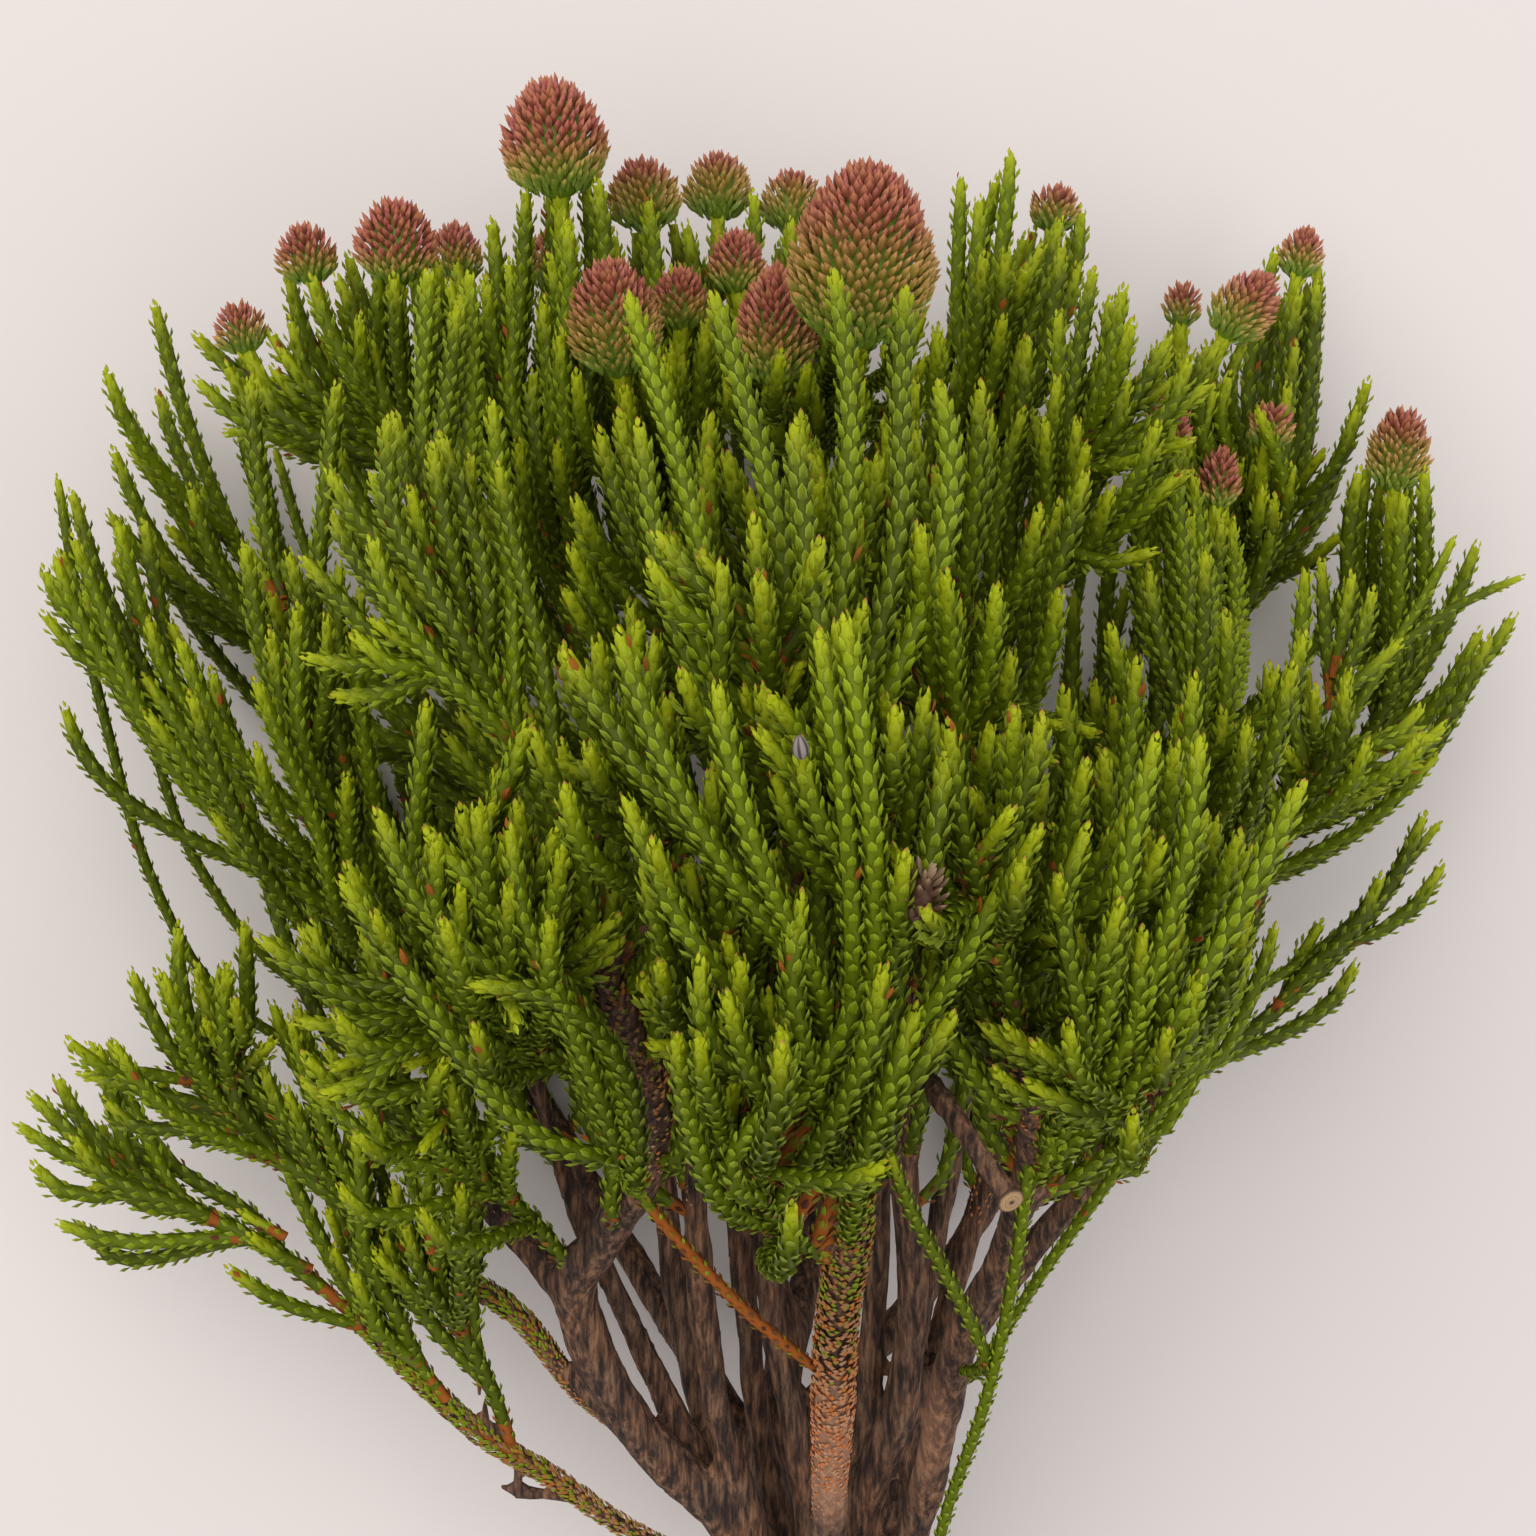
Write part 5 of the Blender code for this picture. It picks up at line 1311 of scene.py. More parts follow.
def head_tree():
    """Bracts in a golden spiral over a ball, moved to the head's foot and turned along its axis."""
    tree, given = new_tree("flower_head", {
        "Geometry": "Geometry", "Bract": "Object", "Count": "Int", "Width": "Float", "Height": "Float",
        "Bract Size": "Float", "Taper": "Float", "Foot": "Vector", "Up": "Vector",
        "Turn": "Float", "Seed": "Int",
        "Finish": "Material"})
    index = add_node(tree, "GeometryNodeInputIndex")
    share = add_node(tree, "ShaderNodeMath", {0: index.outputs["Index"], 1: given["Count"]},
            operation="DIVIDE")
    level = add_node(tree, "ShaderNodeMapRange", {"Value": share.outputs[0], "To Min": -0.93, "To Max": 1.0})
    square = add_node(tree, "ShaderNodeMath", {0: level.outputs[0], 1: level.outputs[0]},
            operation="MULTIPLY")
    rest = add_node(tree, "ShaderNodeMath", {0: 1.0, 1: square.outputs[0]}, operation="SUBTRACT",
            use_clamp=True)
    ring = add_node(tree, "ShaderNodeMath", {0: rest.outputs[0]}, operation="SQRT")
    angle = add_node(tree, "ShaderNodeMath", {0: index.outputs["Index"], 1: given["Turn"]},
            operation="MULTIPLY")
    cosine = add_node(tree, "ShaderNodeMath", {0: angle.outputs[0]}, operation="COSINE")
    sine = add_node(tree, "ShaderNodeMath", {0: angle.outputs[0]}, operation="SINE")
    radial = add_node(tree, "ShaderNodeCombineXYZ", {"X": cosine.outputs[0], "Y": sine.outputs[0]})
    narrow = add_node(tree, "ShaderNodeMath", {0: level.outputs[0], 1: given["Taper"]}, operation="MULTIPLY")
    girth = add_node(tree, "ShaderNodeMath", {0: 1.0, 1: narrow.outputs[0]}, operation="SUBTRACT")
    egg = add_node(tree, "ShaderNodeMath", {0: ring.outputs[0], 1: girth.outputs[0]}, operation="MULTIPLY")
    flat = add_node(tree, "ShaderNodeVectorMath", {0: radial.outputs["Vector"], "Scale": egg.outputs[0]},
            operation="SCALE")
    half_width = add_node(tree, "ShaderNodeMath", {0: given["Width"], 1: 0.5}, operation="MULTIPLY")
    half_height = add_node(tree, "ShaderNodeMath", {0: given["Height"], 1: 0.5}, operation="MULTIPLY")
    wide = add_node(tree, "ShaderNodeVectorMath", {0: flat.outputs["Vector"],
            "Scale": half_width.outputs[0]}, operation="SCALE")
    tall = add_node(tree, "ShaderNodeMath", {0: level.outputs[0], 1: half_height.outputs[0],
            2: half_height.outputs[0]}, operation="MULTIPLY_ADD")
    lift = add_node(tree, "ShaderNodeCombineXYZ", {"Z": tall.outputs[0]})
    spot = add_node(tree, "ShaderNodeVectorMath", {0: wide.outputs["Vector"], 1: lift.outputs["Vector"]},
            operation="ADD")
    rise = add_node(tree, "ShaderNodeMapRange", {"Value": level.outputs[0], "From Min": -1.0, "To Min": 1.0,
            "To Max": 1.7})
    upward = add_node(tree, "ShaderNodeCombineXYZ", {"Z": rise.outputs[0]})
    aim = add_node(tree, "ShaderNodeVectorMath", {0: flat.outputs["Vector"], 1: upward.outputs["Vector"]},
            operation="ADD")
    sway = add_node(tree, "FunctionNodeRandomValue", {0: (-0.32, -0.32, -0.3), 1: (0.32, 0.32, 0.3),
            "Seed": given["Seed"]}, data_type="FLOAT_VECTOR")
    swayed = add_node(tree, "ShaderNodeVectorMath", {0: aim.outputs["Vector"], 1: sway.outputs[0]},
            operation="ADD")
    points = add_node(tree, "GeometryNodePoints", {"Count": given["Count"], "Position": spot.outputs[0]})
    noted = add_node(tree, "GeometryNodeStoreNamedAttribute", {
        "Geometry": points.outputs["Points"], "Name": "rise", "Value": share.outputs[0]},
        data_type="FLOAT", domain="POINT")
    luck = add_node(tree, "FunctionNodeRandomValue", {2: 0.0, 3: 1.0, "Seed": given["Seed"]},
            data_type="FLOAT")
    marked = add_node(tree, "GeometryNodeStoreNamedAttribute", {
        "Geometry": noted.outputs["Geometry"], "Name": "chance", "Value": luck.outputs[1]},
        data_type="FLOAT", domain="POINT")
    facing = add_node(tree, "FunctionNodeAxesToRotation", {
        "Primary Axis": swayed.outputs["Vector"], "Secondary Axis": radial.outputs["Vector"]},
        primary_axis="Z", secondary_axis="X")
    size = add_node(tree, "ShaderNodeMapRange", {"Value": luck.outputs[1], "To Min": 0.88, "To Max": 1.22})
    grown = add_node(tree, "ShaderNodeMath", {0: size.outputs[0], 1: given["Bract Size"]},
            operation="MULTIPLY")
    shape = add_node(tree, "GeometryNodeObjectInfo", {"Object": given["Bract"], "As Instance": True})
    bracts = add_node(tree, "GeometryNodeInstanceOnPoints", {
        "Points": marked.outputs["Geometry"], "Instance": shape.outputs["Geometry"],
        "Rotation": facing.outputs["Rotation"], "Scale": grown.outputs[0]})
    ball = add_node(tree, "GeometryNodeMeshIcoSphere", {"Radius": 1.0, "Subdivisions": 3})
    slim = add_node(tree, "ShaderNodeMath", {0: half_width.outputs[0], 1: 0.85}, operation="MULTIPLY")
    sides = add_node(tree, "ShaderNodeCombineXYZ", {"X": slim.outputs[0], "Y": slim.outputs[0],
            "Z": half_height.outputs[0]})
    middle = add_node(tree, "ShaderNodeCombineXYZ", {"Z": half_height.outputs[0]})
    core = add_node(tree, "GeometryNodeTransform", {
        "Geometry": ball.outputs["Mesh"], "Translation": middle.outputs["Vector"],
        "Scale": sides.outputs["Vector"]})
    whole = tree.nodes.new("GeometryNodeJoinGeometry")
    for part in (bracts.outputs["Instances"], core.outputs["Geometry"]):
        tree.links.new(part, whole.inputs["Geometry"])
    axis = add_node(tree, "FunctionNodeAxesToRotation", {"Primary Axis": given["Up"]}, primary_axis="Z",
            secondary_axis="X")
    stood = add_node(tree, "GeometryNodeTransform", {
        "Geometry": whole.outputs["Geometry"], "Translation": given["Foot"],
        "Rotation": axis.outputs["Rotation"]})
    end_tree(tree, [stood.outputs["Geometry"]], given["Finish"])
    return tree


head_spiral = head_tree()
print("nodes in the head tree:", len(head_spiral.nodes))

# %% [markdown]
# Bracts are half leaf and half petal. Their feet are olive green, and their points are pink to wine red where
# the light reaches them, at the crown of the head, and a dry pinkish beige lower down. So the colour is read
# from two attributes: how far along the bract, and how high on the head.

# %% Bract material
def bract_skin(name, ruddiness):
    """Olive bract with a red point; ruddiness from 0 to 1 lets the red reach further down."""
    skin, tree, shader = new_skin(name)
    reach, rise, chance, rim = [add_node(tree, NUMBER_NODE, attribute_name=label).outputs["Fac"]
            for label in ("reach", "rise", "chance", "rim")]
    low = 0.88 - 0.60 * ruddiness
    crown = add_node(tree, "ShaderNodeMapRange", {"Value": rise, "From Min": low - 0.2,
            "From Max": low + 0.2}, interpolation_type="SMOOTHSTEP")
    foot = add_node(tree, "ShaderNodeMapRange", {"Value": rise, "From Min": 0.10, "From Max": 0.38},
            interpolation_type="SMOOTHSTEP")
    pale = add_node(tree, "ShaderNodeMix", {"Factor": foot.outputs[0], 6: linear("#A8B040"),
            7: linear("#CFA45E")}, data_type="RGBA")
    point = add_node(tree, "ShaderNodeMix", {"Factor": crown.outputs[0], 6: pale.outputs[2],
            7: linear("#B8505A")}, data_type="RGBA")
    mood = add_node(tree, "ShaderNodeMath", {0: chance, 1: 0.75}, operation="MULTIPLY")
    varied = add_node(tree, "ShaderNodeMix", {"Factor": mood.outputs[0], 6: point.outputs[2],
            7: linear("#B4783A")}, data_type="RGBA")
    brown = add_node(tree, "ShaderNodeMix", {"Factor": crown.outputs[0], 6: linear("#8C7C22"),
            7: linear("#8C4630")}, data_type="RGBA")
    body = add_node(tree, "ShaderNodeMix", {"Factor": foot.outputs[0], 6: linear("#6C8A18"),
            7: brown.outputs[2]}, data_type="RGBA")
    start = 0.92 - 0.20 * ruddiness
    redder = add_node(tree, "ShaderNodeMapRange", {"Value": reach, "From Min": start - 0.24,
            "From Max": start + 0.06},
            interpolation_type="SMOOTHSTEP")
    colour = add_node(tree, "ShaderNodeMix", {"Factor": redder.outputs[0], 6: body.outputs[2],
            7: varied.outputs[2]}, data_type="RGBA")
    edge = add_node(tree, "ShaderNodeMath", {0: rim, 1: 0.15}, operation="MULTIPLY")
    rimmed = add_node(tree, "ShaderNodeMix", {"Factor": edge.outputs[0], 6: colour.outputs[2],
            7: linear("#CFA278")}, data_type="RGBA")
    where = add_node(tree, "ShaderNodeTexCoord").outputs["Object"]
    fur = add_node(tree, "ShaderNodeTexNoise", {"Vector": where, "Scale": 3000.0, "Detail": 1.0})
    bump = add_node(tree, "ShaderNodeBump", {"Height": fur.outputs["Fac"], "Strength": 0.3,
            "Distance": 0.1 * MM})
    tree.links.new(rimmed.outputs[2], shader.inputs["Base Color"])
    tree.links.new(bump.outputs["Normal"], shader.inputs["Normal"])
    shader.inputs["Roughness"].default_value = 0.55
    return skin


RUDDY = {"head_left_dark": 1.0, "head_right_dark": 1.0, "head_right_dark_low": 0.9, "head_top_left": 0.85,
         "head_left_high": 0.7, "head_crown_middle": 0.8, "head_crown_tall": 0.75, "head_crown_left": 0.5,
         "head_front": 0.45, "head_crown_back": 0.3, "head_crown_far": 0.25, "head_crown_right": 0.25,
         "head_right_stalked": 0.35, "head_top_right": 0.4}
EGG_TAPER = 0.22             # share by which a head narrows towards its crown
TALLER = 1.15                # the lowest bracts hug the stalk below the plain solid
RUDDY_ELSE = 0.6
skins = {level: bract_skin(f"furry_bract_{level * 100:.0f}", level)
         for level in sorted({RUDDY_ELSE, *RUDDY.values()})}
heads = {}
for number, head in enumerate(HEADS):
    name, _, _, width, height, _, _ = head
    foot, upward = head_axis(head)
    size = min(1.0, 0.7 + width / 50)
    inner_width, inner_height = width - 3.2 * size, height * TALLER - 3.2 * size
    area = math.pi * inner_width * inner_height
    thing = new_object(name + "_bracts", bpy.data.meshes.new(name + "_bracts"))
    apply_tree(thing, head_spiral, {
        "Bract": bract, "Count": round(area / (BRACT_SPREAD * size * size)), "Width": inner_width * MM,
        "Height": inner_height * MM, "Bract Size": size, "Taper": EGG_TAPER,
        "Foot": tuple(in_frame(foot - upward * height * (TALLER - 1))),
        "Up": tuple(upward), "Turn": GOLDEN_ANGLE, "Seed": number,
        "Finish": skins[RUDDY.get(name, RUDDY_ELSE)]})
    heads[name] = thing
bpy.context.view_layer.update()
head_triangles = [hand_over(baked(thing), "flower_bracts", name) for name, thing in heads.items()]
print("triangles in the heads:", sum(head_triangles), "most in one:", max(head_triangles))

# %% [markdown]
# The wood is grown as tubes along the limbs, joined into one skin and then roughened. A voxel remesh is the
# quick way to melt crossing tubes into one surface with soft crotches, as wood has them. The bark relief is
# noise that is stretched along the branch, pushed out along the surface, so it shows in the outline too.

# %% Woody stem
VOXEL = 1.1
STUB_RADIUS = 1.0            # thin enough to hide under the leaves of its shoot
KNOT_SEED = 3
SLIM = {"low_left": 0.75, "low_side": 0.85}       # limbs whose bark has shrunk under the old leaves
INNER_LIMBS = [              # thin limbs in the dark inside of the bush: (x, y, h, radius)
    [(2, -12, -40, 2.4), (-5, 15, -39, 2.1), (-7, 32, -37, 1.9), (-9, 52, -35, 1.7), (-12, 76, -33, 1.4)],
    [(4, -10, -38, 2.4), (8, 16, -37, 2.1), (10, 34, -36, 1.9), (11, 58, -33, 1.7), (12, 80, -30, 1.4)],
    [(8, 0, -36, 2.2), (15, 28, -36, 2.0), (19, 48, -34, 1.8), (24, 72, -32, 1.4)],
    [(-10, 6, -32, 2.0), (-22, 30, -30, 1.8), (-31, 50, -28, 1.6), (-36, 66, -24, 1.3)],
]
DEAD_TWIGS = [               # short dead twigs on the low left limb: (x, y, h, radius)
    [(-41.5, 16.5, -30, 0.9), (-42.4, 21.0, -29, 0.8), (-43.1, 26.0, -29, 0.7)],
    [(-30.5, 8.5, -31, 1.0), (-37.8, 9.2, -31, 0.9), (-40.0, 9.9, -31, 0.6), (-43.2, 10.0, -30, 0.35)],
    [(-38.0, 15.5, -30, 0.8), (-37.6, 9.2, -31, 0.8)],
]


def wood_rows(limbs):
    """Chains of the limbs and of the stubs that carry the sprays, with their thickness."""
    draw = np.random.default_rng(KNOT_SEED)
    rows = []
    for name, path in limbs.items():
        dense = smooth(path, 8)
        knots = 1 + 0.10 * np.interp(np.arange(len(dense)), np.arange(0, len(dense) + 8, 8),
                draw.uniform(-1, 1, len(dense) // 8 + 2))[:len(dense)]
        slim = SLIM.get(name, 1.0)
        rows.append(dict(places=in_frame(dense[:, :3]), thickness=dense[:, 3] * knots * slim * MM))
    for twig in INNER_LIMBS + DEAD_TWIGS:
        dense = smooth(np.array([(*place(*spot[:3]), spot[3]) for spot in twig]), 6)
        rows.append(dict(places=in_frame(dense[:, :3]), thickness=dense[:, 3] * MM))
    for _, limb, share, tip, _, _ in SPRAYS:
        start, end, _ = spray_stub(limbs, limb, share, place(*tip))
        rows.append(dict(places=in_frame([start, end]), thickness=np.full(2, STUB_RADIUS * MM)))
    return rows


def wood_tree():
    """Round tubes along the chains of the mesh."""
    tree, given = new_tree("limbs", {"Geometry": "Geometry", "Sides": "Int", "Finish": "Material"})
    thickness = add_node(tree, "GeometryNodeInputNamedAttribute", {"Name": "thickness"}, data_type="FLOAT")
    chains = add_node(tree, "GeometryNodeMeshToCurve", {"Mesh": given["Geometry"]})
    ring = add_node(tree, "GeometryNodeCurvePrimitiveCircle", {"Resolution": given["Sides"], "Radius": 1.0})
    tube = add_node(tree, "GeometryNodeCurveToMesh", {
        "Curve": chains.outputs["Curve"], "Profile Curve": ring.outputs["Curve"],
        "Scale": thickness.outputs["Attribute"], "Fill Caps": True})
    end_tree(tree, [tube.outputs["Mesh"]], given["Finish"])
    return tree


def bark_tree():
    """Push the surface in and out by stretched noise."""
    tree, given = new_tree("bark_relief", {"Geometry": "Geometry", "Depth": "Float", "Finish": "Material"})
    spot = add_node(tree, "GeometryNodeInputPosition")
    stretched = add_node(tree, "ShaderNodeVectorMath", {0: spot.outputs["Position"], 1: (1.0, 0.28, 1.0)},
            operation="MULTIPLY")
    ridges = add_node(tree, "ShaderNodeTexNoise", {"Vector": stretched.outputs["Vector"], "Scale": 420.0,
            "Detail": 3.0, "Roughness": 0.6})
    lumps = add_node(tree, "ShaderNodeTexNoise", {"Vector": spot.outputs["Position"], "Scale": 95.0,
            "Detail": 1.0})
    both = add_node(tree, "ShaderNodeMath", {0: lumps.outputs["Fac"], 1: 1.3, 2: ridges.outputs["Fac"]},
            operation="MULTIPLY_ADD")
    level = add_node(tree, "ShaderNodeMath", {0: both.outputs[0], 1: 1.15}, operation="SUBTRACT")
    depth = add_node(tree, "ShaderNodeMath", {0: level.outputs[0], 1: given["Depth"]}, operation="MULTIPLY")
    normal = add_node(tree, "GeometryNodeInputNormal")
    push = add_node(tree, "ShaderNodeVectorMath", {0: normal.outputs["Normal"], "Scale": depth.outputs[0]},
            operation="SCALE")
    moved = add_node(tree, "GeometryNodeSetPosition", {"Geometry": given["Geometry"],
            "Offset": push.outputs["Vector"]})
    smooth_shaded = add_node(tree, "GeometryNodeSetShadeSmooth", {"Geometry": moved.outputs["Geometry"]})
    end_tree(tree, [smooth_shaded.outputs["Geometry"]], given["Finish"])
    return tree


YOUNG_MIDDLE = place(4.3, 16, -6)    # bare stretch of the raised limb, where the bark is young and pale
YOUNG_REACH = (10.0, 18.0)           # from here the pale bark fades, and here it ends


def bark_skin():
    """Weathered bark: grey-brown ridges over purplish brown, with dark cracks along the limb."""
    skin, tree, shader = new_skin("weathered_bark")
    where = add_node(tree, "ShaderNodeTexCoord").outputs["Object"]
    long_way = add_node(tree, "ShaderNodeMapping", {"Vector": where, "Scale": (1.0, 0.16, 1.0)})
    fibres = add_node(tree, "ShaderNodeTexNoise", {"Vector": long_way.outputs["Vector"], "Scale": 1150.0,
            "Detail": 4.0, "Roughness": 0.65})
    plates = add_node(tree, "ShaderNodeTexNoise", {"Vector": where, "Scale": 130.0, "Detail": 3.0})
    colours = add_node(tree, "ShaderNodeValToRGB", {"Fac": fibres.outputs["Fac"]})
    fill_ramp(colours, ((0.38, "#261A14"), (0.50, "#5E4534"), (0.62, "#8E6F54"), (0.78, "#B0937A")))
    tint = add_node(tree, "ShaderNodeValToRGB", {"Fac": plates.outputs["Fac"]})
    fill_ramp(tint, ((0.38, "#96807C"), (0.62, "#E0B088")))
    mixed = add_node(tree, "ShaderNodeMix", {"Factor": 0.55, 6: colours.outputs["Color"],
            7: tint.outputs["Color"]}, data_type="RGBA",
            blend_type="MULTIPLY")
    bump = add_node(tree, "ShaderNodeBump", {"Height": fibres.outputs["Fac"], "Strength": 0.8,
            "Distance": 0.35 * MM})
    off = add_node(tree, "ShaderNodeVectorMath", {0: where, 1: tuple(in_frame(YOUNG_MIDDLE))},
            operation="DISTANCE")
    younger = add_node(tree, "ShaderNodeMapRange", {
        "Value": off.outputs["Value"], "From Min": YOUNG_REACH[0] * MM, "From Max": YOUNG_REACH[1] * MM,
        "To Min": 1.0, "To Max": 0.0})
    coat = add_node(tree, "ShaderNodeMix", {"Factor": younger.outputs[0], 6: mixed.outputs[2],
            7: linear("#85604A")}, data_type="RGBA", blend_type="SCREEN")
    tree.links.new(coat.outputs[2], shader.inputs["Base Color"])
    tree.links.new(bump.outputs["Normal"], shader.inputs["Normal"])
    shader.inputs["Roughness"].default_value = 0.85
    return skin


bark = bark_skin()
stem = line_object("woody_stem_bark", wood_rows(limbs))
apply_tree(stem, wood_tree(), {"Sides": 16, "Finish": bark})
melt = stem.modifiers.new("melt", "REMESH")
melt.mode = "VOXEL"
melt.voxel_size = VOXEL * MM
apply_tree(stem, bark_tree(), {"Depth": 0.9 * MM, "Finish": bark})
bpy.context.view_layer.update()
print("triangles in the wood:", hand_over(baked(stem), "bark", "woody_stem"))

# %% [markdown]
# Two cut ends show fresh wood: that of the stem and that of a twig which was trimmed short. A cut face is a
# shallow lens, turned from a profile. Each of its points knows how far out it lies, and the material turns
# that into a dark pith, two year rings and the thin dark line of the bark.

# %% Cut ends
CUT_PROFILE = ((0.0, 0.22), (0.2, 0.22), (0.4, 0.2), (0.6, 0.16), (0.8, 0.1), (0.92, 0.02), (1.0, -0.12),
        (0.9, -0.9), (0.0, -0.9))          # distance from the middle in radii, height in millimetres
CUT_SIDES = 24
SLANT = np.array((0.0, 0.0, 1.0))                 # the twig was cut aslant, towards its upper side


def cut_wood_skin():
    """Sawn end grain: pale tan with a dark pith, faint rings and a dark edge."""
    skin, tree, shader = new_skin("sawn_end_grain")
    out = add_node(tree, NUMBER_NODE, attribute_name="out").outputs["Fac"]
    where = add_node(tree, "ShaderNodeTexCoord").outputs["Object"]
    pores = add_node(tree, "ShaderNodeTexNoise", {"Vector": where, "Scale": 3500.0, "Detail": 2.0})
    wobble = add_node(tree, "ShaderNodeMath", {0: pores.outputs["Fac"], 1: 0.16, 2: out},
            operation="MULTIPLY_ADD")
    centred = add_node(tree, "ShaderNodeMath", {0: wobble.outputs[0], 1: 0.08}, operation="SUBTRACT")
    rings = add_node(tree, "ShaderNodeValToRGB", {"Fac": centred.outputs[0]})
    fill_ramp(rings, ((0.10, "#33241A"), (0.20, "#94744E"), (0.44, "#AE8E66"), (0.50, "#7E6040"),
            (0.56, "#B09068"), (0.80, "#A08056"), (0.93, "#4A3322")))
    bump = add_node(tree, "ShaderNodeBump", {"Height": pores.outputs["Fac"], "Strength": 0.5,
            "Distance": 0.15 * MM})
    tree.links.new(rings.outputs["Color"], shader.inputs["Base Color"])
    tree.links.new(bump.outputs["Normal"], shader.inputs["Normal"])
    shader.inputs["Roughness"].default_value = 0.75
    return skin


def turned(name, profile, sides, middle, towards, finish):
    """Closed piece turned from a profile of (distance, height) in millimetres, round an axis at middle."""
    mesh = bmesh.new()
    out = mesh.verts.layers.float.new("out")
    around = mesh.verts.layers.float.new("around")
    widest = max(distance for distance, _ in profile)
    turn = Vector(towards).to_track_quat("Z", "Y")
    middle = Vector(in_frame(middle))
    rings = []
    for distance, height in profile:
        ring = []
        for side in range(sides if distance else 1):
            angle = 2 * math.pi * side / sides
            spot = Vector((math.cos(angle) * distance, math.sin(angle) * distance, height)) * MM
            made = mesh.verts.new(middle + turn @ spot)
            made[out] = distance / widest
            made[around] = side / sides
            ring.append(made)
        rings.append(ring)
    for upper, lower in zip(rings, rings[1:]):
        for side in range(sides):
            after = (side + 1) % sides
            corners = [upper[side % len(upper)], lower[side % len(lower)], lower[after % len(lower)],
                       upper[after % len(upper)]]
            mesh.faces.new(dict.fromkeys(corners))
    bmesh.ops.recalc_face_normals(mesh, faces=mesh.faces)
    for face in mesh.faces:
        face.smooth = True
    data = bpy.data.meshes.new(name)
    mesh.to_mesh(data)
    mesh.free()
    data.materials.append(finish)
    return new_object(name, data)


cut_wood = cut_wood_skin()
for name, limb, end, inner in (("stem_cut_face", "main", 0, 1), ("twig_cut_face", "trimmed_twig", -1, -2)):
    radius = limbs[limb][end, 3] * (0.94 if end == 0 else 1.12)
    towards = unit(limbs[limb][end, :3] - limbs[limb][inner, :3])
    towards = towards if end == 0 else unit(towards + SLANT)
    profile = [(share * radius, height) for share, height in CUT_PROFILE]
    face = turned(name, profile, CUT_SIDES, limbs[limb][end, :3] + towards * 0.25, towards, cut_wood)
    print(name, hand_over(face, "bark"), "triangles")

# %% [markdown]
# Two small finds hang in the bush: a striped nutlet that fell between the shoots, and a dry brown head of
# last year. Each is seated on the nearest shoot that lies on top at its place.

# %% Nutlet and dry head
NUTLET_SPOT, NUTLET_LENGTH, NUTLET_WIDTH = (-0.9, 108.0), 2.7, 1.8
DRY_HEAD_SPOT, DRY_HEAD_WIDTH, DRY_HEAD_HEIGHT = (15.5, 88.5), 4.6, 8.0
SEAT_REACH = 1.4             # how far from the wished place a shoot may lie to carry the piece
SHOOT_RADIUS = 1.5


def seat(seen_x, seen_y):
    """Place on top of the highest shoot there, and the way along that shoot."""
    best = None
    for strand in strands + extra:
        places = smooth(strand["path"], 6)
        near = 1 - places[:, 2] / SIGHT
        off = np.hypot(SIGHT_X + (places[:, 0] - SIGHT_X) / near - seen_x,
                SIGHT_Y + (places[:, 1] - SIGHT_Y) / near - seen_y)
        for number in np.nonzero(off < SEAT_REACH)[0]:
            if best is None or places[number, 2] > best[0][2]:
                ahead = min(number + 1, len(places) - 1)
                best = places[number], unit(places[ahead] - places[ahead - 1])
    return best


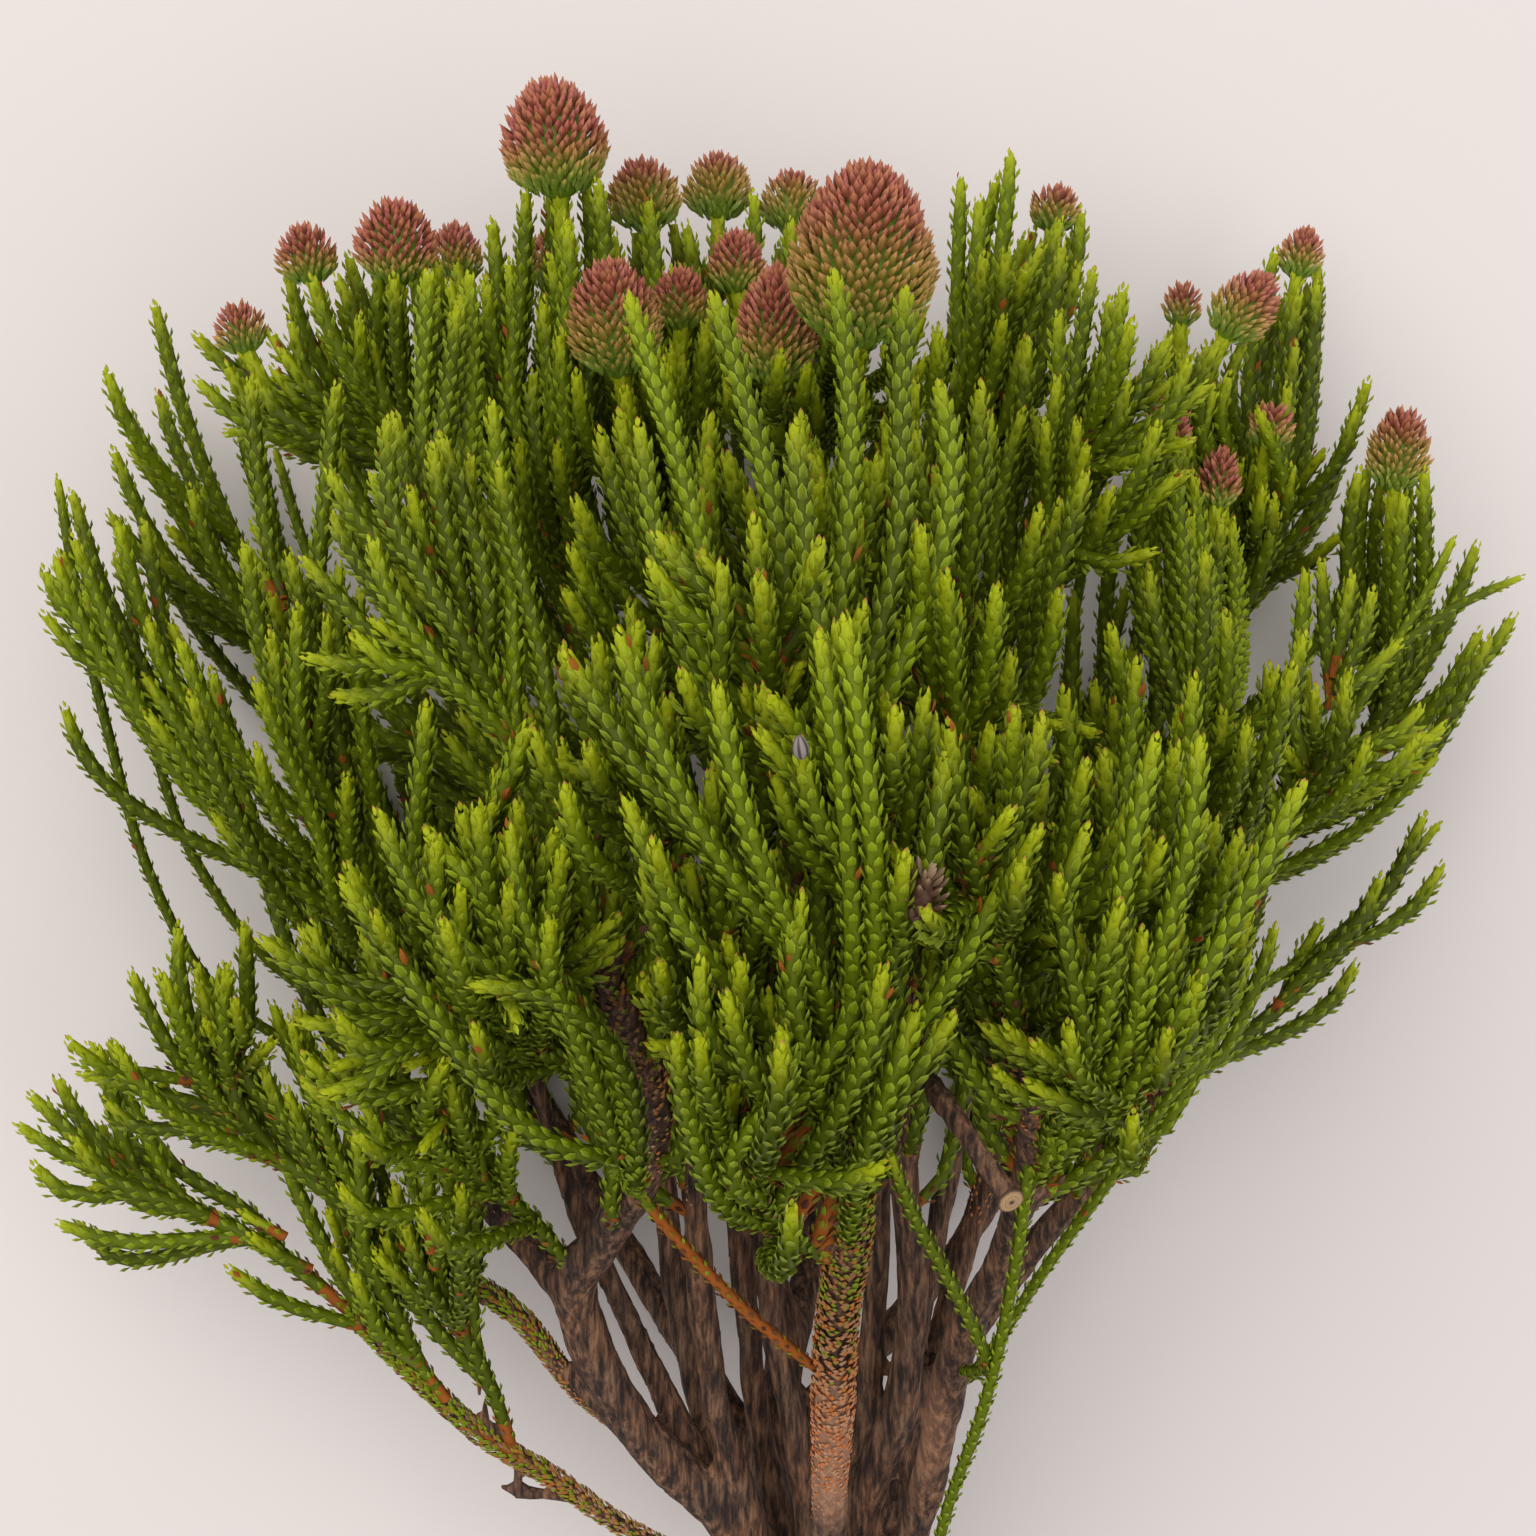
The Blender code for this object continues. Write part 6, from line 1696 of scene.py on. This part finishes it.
def nutlet_skin():
    """Dry shell of a nutlet: grey-white with dark stripes from end to end."""
    skin, tree, shader = new_skin("dry_striped_shell")
    around = add_node(tree, NUMBER_NODE, attribute_name="around").outputs["Fac"]
    turns = add_node(tree, "ShaderNodeMath", {0: around, 1: 6 * 2 * math.pi}, operation="MULTIPLY")
    wave = add_node(tree, "ShaderNodeMath", {0: turns.outputs[0]}, operation="SINE")
    stripe = add_node(tree, "ShaderNodeMapRange", {
        "Value": wave.outputs[0], "From Min": 0.1, "From Max": 0.7})
    mixed = add_node(tree, "ShaderNodeMix", {"Factor": stripe.outputs[0], 6: linear("#857A78"),
            7: linear("#3E3230")}, data_type="RGBA")
    tree.links.new(mixed.outputs[2], shader.inputs["Base Color"])
    shader.inputs["Roughness"].default_value = 0.45
    return skin


spot, way = seat(*NUTLET_SPOT)
half_turns = np.linspace(0, math.pi, 9)
egg_shape = [(round(math.sin(t), 6) * NUTLET_WIDTH / 2 * (1 + 0.2 * math.cos(t)),
        -math.cos(t) * NUTLET_LENGTH / 2) for t in half_turns]
nutlet = turned("striped_nutlet", egg_shape, 32, spot + (0, 0, SHOOT_RADIUS), way, nutlet_skin())
print("nutlet:", hand_over(nutlet, "bark"), "triangles")

spot, way = seat(*DRY_HEAD_SPOT)
dry_skin = bract_skin("dry_brown_bract", 0.0)
for node in dry_skin.node_tree.nodes:
    if node.bl_idname == "ShaderNodeMix":
        node.inputs[6].default_value, node.inputs[7].default_value = linear("#5A3A2A"), linear("#A08468")
dry_head = new_object("dry_head", bpy.data.meshes.new("dry_head"))
dry_foot = in_frame(spot + (0, 0, SHOOT_RADIUS + 0.4) - way * DRY_HEAD_HEIGHT / 2)
apply_tree(dry_head, head_spiral, {
    "Bract": bract, "Count": 46, "Width": (DRY_HEAD_WIDTH - 1.6) * MM, "Height": (DRY_HEAD_HEIGHT - 2.4) * MM,
    "Bract Size": 0.85, "Taper": EGG_TAPER, "Foot": tuple(dry_foot),
    "Up": tuple(way), "Turn": GOLDEN_ANGLE, "Seed": 99, "Finish": dry_skin})
bpy.context.view_layer.update()
print("dry head:", hand_over(baked(dry_head), "flower_bracts"), "triangles")

# %% [markdown]
# The last step removes the pattern leaves.

# %% Remove the pattern leaves
for pattern in (near_leaf, far_leaf, bract):
    bpy.data.objects.remove(pattern)
